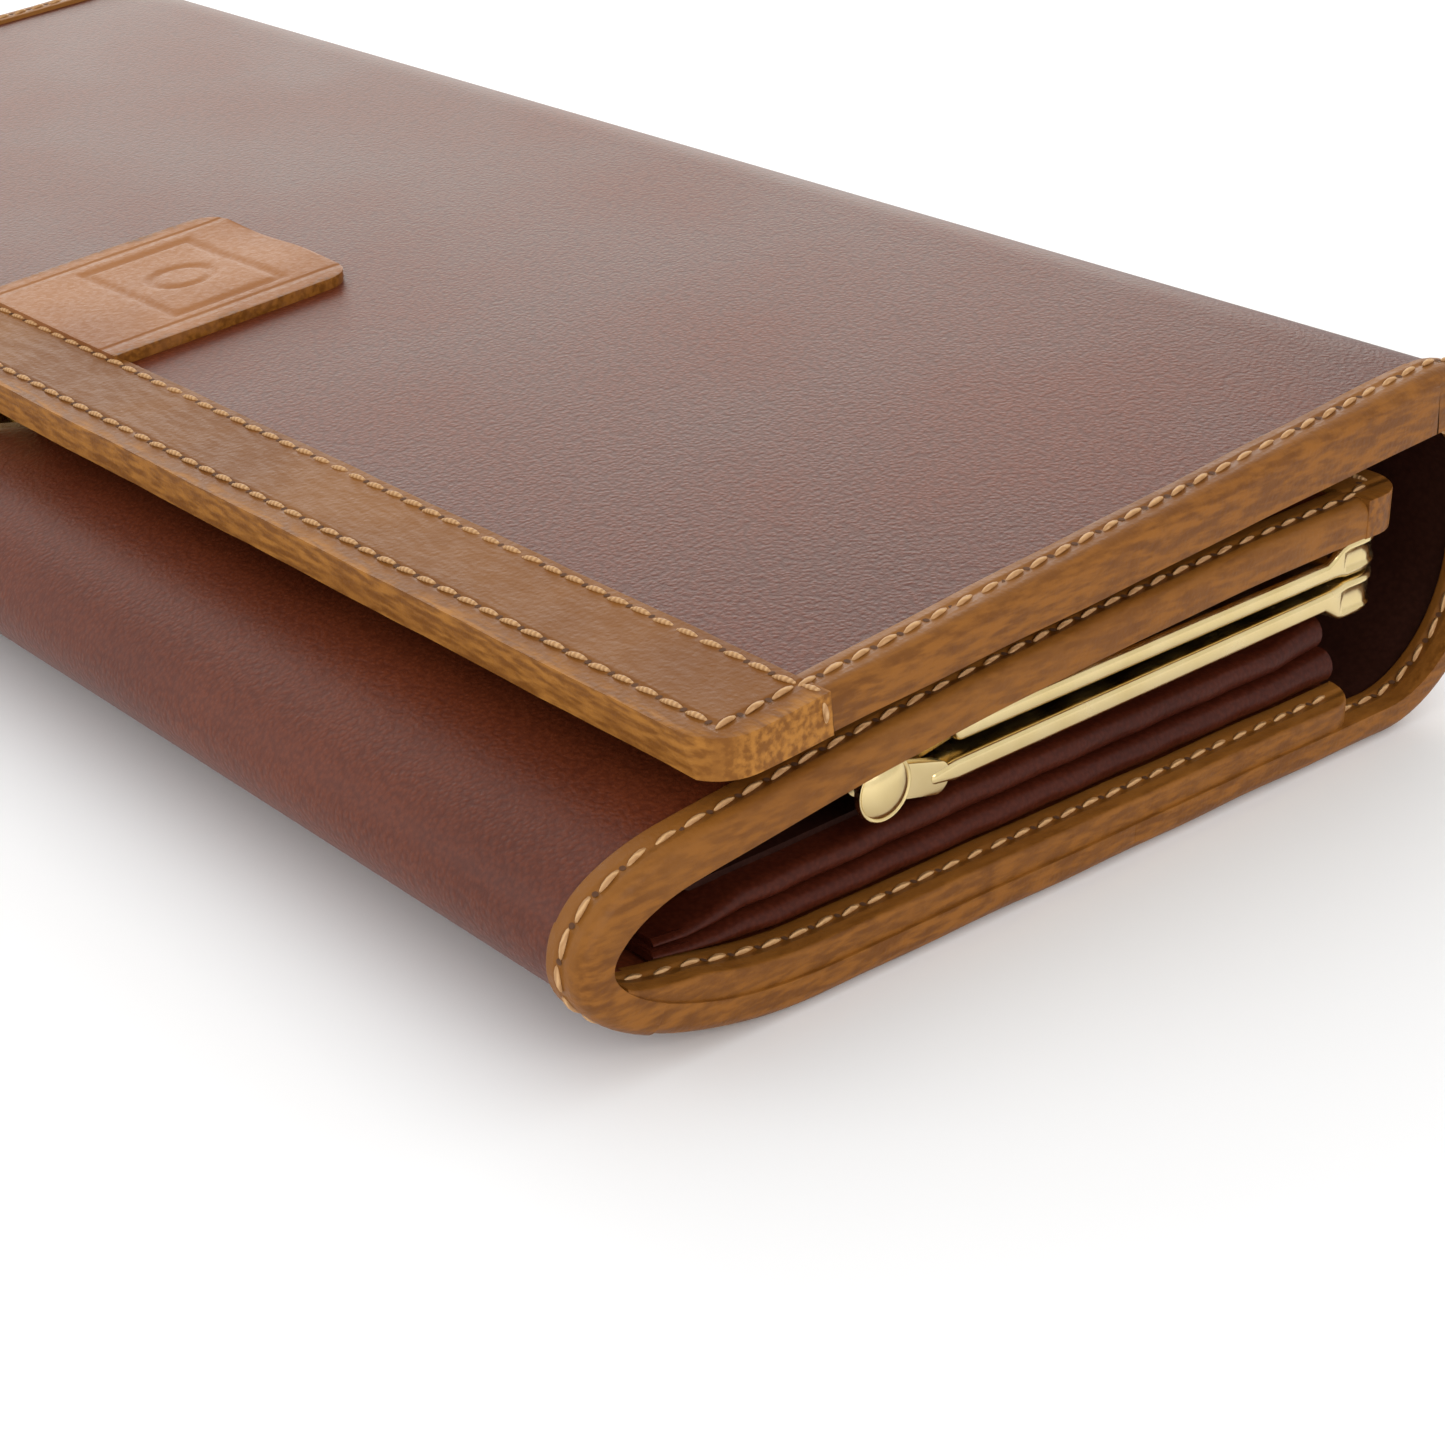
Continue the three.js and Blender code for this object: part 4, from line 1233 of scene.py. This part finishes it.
def push(dx, dy, dz, widen=None):
    bpy.ops.mesh.extrude_region_move(
        TRANSFORM_OT_translate={"value": (dx * MM, dy * MM, dz * MM)}
    )
    if widen:
        bpy.ops.transform.resize(value=widen)


def out_facing(face):
    """A face of the outer side of the corner bracket, clear of its rounded lips."""
    sideways = abs(face.normal.x) > 0.4 and face.normal.x * face.center.x > 0
    return sideways and abs(face.normal.z) < 0.1 and abs(face.center.x) > (FRAME_HALF - 3) * MM


def frame_half(name, start, z_start, z_corner, z_bar, body, node):
    thin = RAIL / 2 * (TIP if start < ARM_START else 1.0)
    half = rail_section(FRAME_HALF - ARM_DEPTH, FRAME_HALF, start, z_start - thin, z_start + thin)
    half.name = name
    if start < ARM_START:
        push(0, ARM_START - start, 0, (1, 1, 1 / TIP))
    push(0, CORNER_START - 0.6 - ARM_START, z_corner - z_start)
    for run, rise, swell in FLARE:
        push(0, run, rise * (z_bar - z_corner), (1, 1, swell))
    push(0, BAR_END - FRAME_CORNER - CORNER_START - 1.6, 0)
    centre = ((FRAME_HALF - FRAME_CORNER) * MM, (BAR_END - FRAME_CORNER) * MM, z_bar * MM)
    bpy.ops.mesh.spin(steps=8, angle=-math.pi / 2, center=centre, axis=(0, 0, 1))
    push(FRAME_CORNER - FRAME_HALF, 0, 0)
    bpy.ops.mesh.delete(type="ONLY_FACE")
    bpy.ops.object.mode_set(mode="OBJECT")
    activate(half)
    twin = half.modifiers.new("twin", "MIRROR")
    twin.use_axis = (True, False, False)
    twin.merge_threshold = 0.01 * MM
    bpy.ops.object.modifier_apply(modifier="twin")
    on_whole_mesh(bpy.ops.mesh.remove_doubles, threshold=1e-6)
    on_whole_mesh(bpy.ops.mesh.normals_make_consistent, inside=False)
    bevel_where(half, anywhere, 0.6, 5)
    pick(half, face=lambda f: f.center.y > (CORNER_START + 0.9) * MM and out_facing(f))
    bpy.ops.mesh.inset(thickness=0.25 * MM, depth=-0.22 * MM)
    bpy.ops.object.mode_set(mode="OBJECT")
    smooth(half, 50)
    return finish_piece(half, gold_mat, body, (node,))


frame_half("purse_frame_low", -13.4, 10.6, 11.5, 11.1, "back", "frame_lower")
frame_half("purse_frame_top", ARM_START, 13.3, 13.9, 14.4, "purse_frame", "frame_upper")


# %% [markdown]
# The hinge of the frame is a rivet with a domed cap through two flat lugs. The cap is a disc whose
# top face is inset and raised in steps into a shallow dome with a rim.

# %% Hinge lugs and rivets
CAP_RADIUS, CAP_X, LUG_RADIUS = 2.3, 92.75, 1.35
def disc(name, x, radius, depth, s):
    deselect_all()
    bpy.ops.mesh.primitive_cylinder_add(
        vertices=40,
        radius=radius * MM,
        depth=depth * MM,
        location=(0, 0, 0),
    )
    piece = bpy.context.object
    piece.name = name
    bpy.ops.object.mode_set(mode="EDIT")
    bpy.ops.mesh.select_all(action="SELECT")
    bpy.ops.transform.rotate(value=s * math.pi / 2, orient_axis="Y", center_override=(0, 0, 0))
    bpy.ops.transform.translate(value=(x * MM, HINGE.x * MM, HINGE.y * MM))
    bpy.ops.object.mode_set(mode="OBJECT")
    return piece


for side_name, s in SIDES:
    cap = disc("hinge_cap_" + side_name, s * CAP_X, CAP_RADIUS, 0.7, s)
    pick(cap, face=lambda f: f.normal.x * s > 0.9 and len(f.vertices) > 8)
    for inset_by, rise in ((0.22, -0.12), (0.12, 0.1), (0.55, 0.3), (0.6, 0.16), (0.4, 0.04)):
        bpy.ops.mesh.inset(thickness=inset_by * MM)
        bpy.ops.transform.translate(value=(s * rise * MM, 0, 0))
    bpy.ops.object.mode_set(mode="OBJECT")
    bevel_where(cap, lambda p: (p.yz - HINGE * MM).length > (CAP_RADIUS - 0.1) * MM, 0.16, 3)
    smooth(cap, 40)
    finish_piece(cap, gold_mat, "back", ("hinge_rivet_" + side_name,))
    for label, x, z_rail, y_rail, body in (
        ("low", 91.85, 10.6, ARM_START - 1.9, "back"),
        ("top", 90.4, 13.3, ARM_START + 1.0, "purse_frame"),
    ):
        lug = disc("hinge_lug_" + label + "_" + side_name, s * x, LUG_RADIUS, 0.8, s)
        reach = Vector((y_rail, z_rail)) - HINGE
        toward = reach.normalized()
        pick(lug, face=lambda f: abs(f.normal.x) < 0.1 and Vector(f.normal.yz).dot(toward) > 0.25)
        step = reach * MM
        bpy.ops.mesh.extrude_region_move(TRANSFORM_OT_translate={"value": (0, step.x, step.y)})
        bpy.ops.transform.resize(value=(1, 0.9, 0.9))
        bpy.ops.object.mode_set(mode="OBJECT")
        bevel_where(lug, anywhere, 0.12, 2)
        smooth(lug, 40)
        finish_piece(lug, gold_mat, body)

# %% [markdown]
# ## Clasp balls
# Two polished balls on short necks snap past each other at the middle of the mouth.

# %% Clasp balls
BALL_RADIUS, BALL_APART, BALL_Y, BALL_Z = 2.5, 2.8, 37.6, 12.8
NECK_RADIUS, NECK_LENGTH, NECK_Y = 0.9, 3.2, 35.7
for name, s, z, body, node in (
    ("clasp_ball_low", -1, 11.1, "back", "kiss_ball_lower"),
    ("clasp_ball_top", 1, 14.4, "purse_frame", "kiss_ball_upper"),
):
    deselect_all()
    bpy.ops.mesh.primitive_uv_sphere_add(
        segments=32,
        ring_count=20,
        radius=BALL_RADIUS * MM,
        location=(0, 0, 0),
    )
    ball = bpy.context.object
    ball.name = name
    bpy.ops.object.mode_set(mode="EDIT")
    bpy.ops.mesh.select_all(action="SELECT")
    bpy.ops.transform.rotate(value=math.pi / 2, orient_axis="X", center_override=(0, 0, 0))
    bpy.ops.transform.translate(value=(s * BALL_APART * MM, BALL_Y * MM, BALL_Z * MM))
    bpy.ops.mesh.select_all(action="DESELECT")
    bpy.ops.mesh.primitive_cylinder_add(
        vertices=20,
        radius=NECK_RADIUS * MM,
        depth=NECK_LENGTH * MM,
        location=(s * BALL_APART * MM, NECK_Y * MM, z * MM),
        rotation=(math.pi / 2, 0, 0),
    )
    bpy.ops.object.mode_set(mode="OBJECT")
    smooth(ball, 50)
    finish_piece(ball, gold_mat, body, (node,))

# %% [markdown]
# ## Press stud
# Under the flap a press stud holds the front band down: a ring socket on the flap and a post on the
# front panel. Their CAD shapes are right, so they keep them and get the plated finish.

# %% Carried-over metal
for node_name in ("snap_stud", "snap_socket"):
    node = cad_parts[node_name]
    node.data.materials.clear()
    node.data.materials.append(gold_mat)

# %% [markdown]
# ## Floor, light and camera
# A pale floor, three soft lights and an even overall light, as in a product picture. The low warm
# light behind the wallet gives the broad sheen on the flap.

# %% Floor
deselect_all()
bpy.ops.mesh.primitive_plane_add(size=6, location=(0, 0, -0.2 * MM))
floor = bpy.context.object
floor.name = "studio_floor"
floor_mat, tree, shader, place = base_material("pale floor", 0.6)
shader.inputs["Base Color"].default_value = (0.95, 0.95, 0.95, 1)
floor.data.materials.append(floor_mat)

# %% Lights
world = bpy.data.worlds.new("studio")
bpy.context.scene.world = world
world.use_nodes = True
background = world.node_tree.nodes["Background"]
background.inputs["Color"].default_value = (1, 1, 1, 1)
background.inputs["Strength"].default_value = 0.88
bpy.context.scene.view_settings.view_transform = "Standard"


def soft_light(name, place, target, width, depth, power, tint=(1.0, 1.0, 1.0)):
    light = bpy.data.lights.new(name, "AREA")
    light.shape = "RECTANGLE"
    light.size = width
    light.size_y = depth
    light.energy = power
    light.color = tint
    holder = bpy.data.objects.new(name, light)
    bpy.context.scene.collection.objects.link(holder)
    holder.location = place
    direction = Vector(target) - Vector(place)
    holder.rotation_euler = direction.to_track_quat("-Z", "Y").to_euler()
    return holder


soft_light("back_light", (-0.95, 0.6, 0.42), (0, 0, 0.02), 1.1, 0.55, 4.6, (1.0, 0.95, 0.87))
soft_light("side_light", (0.9, -0.2, 0.5), (0, 0, 0.02), 0.7, 0.5, 3)
soft_light("front_light", (-0.35, -0.8, 0.55), (0, 0, 0.01), 0.8, 0.5, 2)

# %% Camera
camera_data = bpy.data.cameras.new("studio_camera")
camera_data.sensor_width = 36.0
camera_data.lens = 69.745
camera_data.clip_start = 0.01
camera = bpy.data.objects.new("studio_camera", camera_data)
bpy.context.scene.collection.objects.link(camera)
azimuth, elevation, roll = (math.radians(a) for a in (49.183, 25.834, -0.205))
backward = Vector(
    (
        math.sin(azimuth) * math.cos(elevation),
        -math.cos(azimuth) * math.cos(elevation),
        math.sin(elevation),
    )
)
right = Vector((math.cos(azimuth), math.sin(azimuth), 0))
upward = backward.cross(right)
turned_right = right * math.cos(roll) + upward * math.sin(roll)
turned_up = -right * math.sin(roll) + upward * math.cos(roll)
pose = Matrix((turned_right, turned_up, backward)).transposed().to_4x4()
pose.translation = Vector((206.358, -129.82, 93.54)) * MM
camera.matrix_world = pose
bpy.context.scene.camera = camera
print("camera lens, mm:", camera_data.lens)
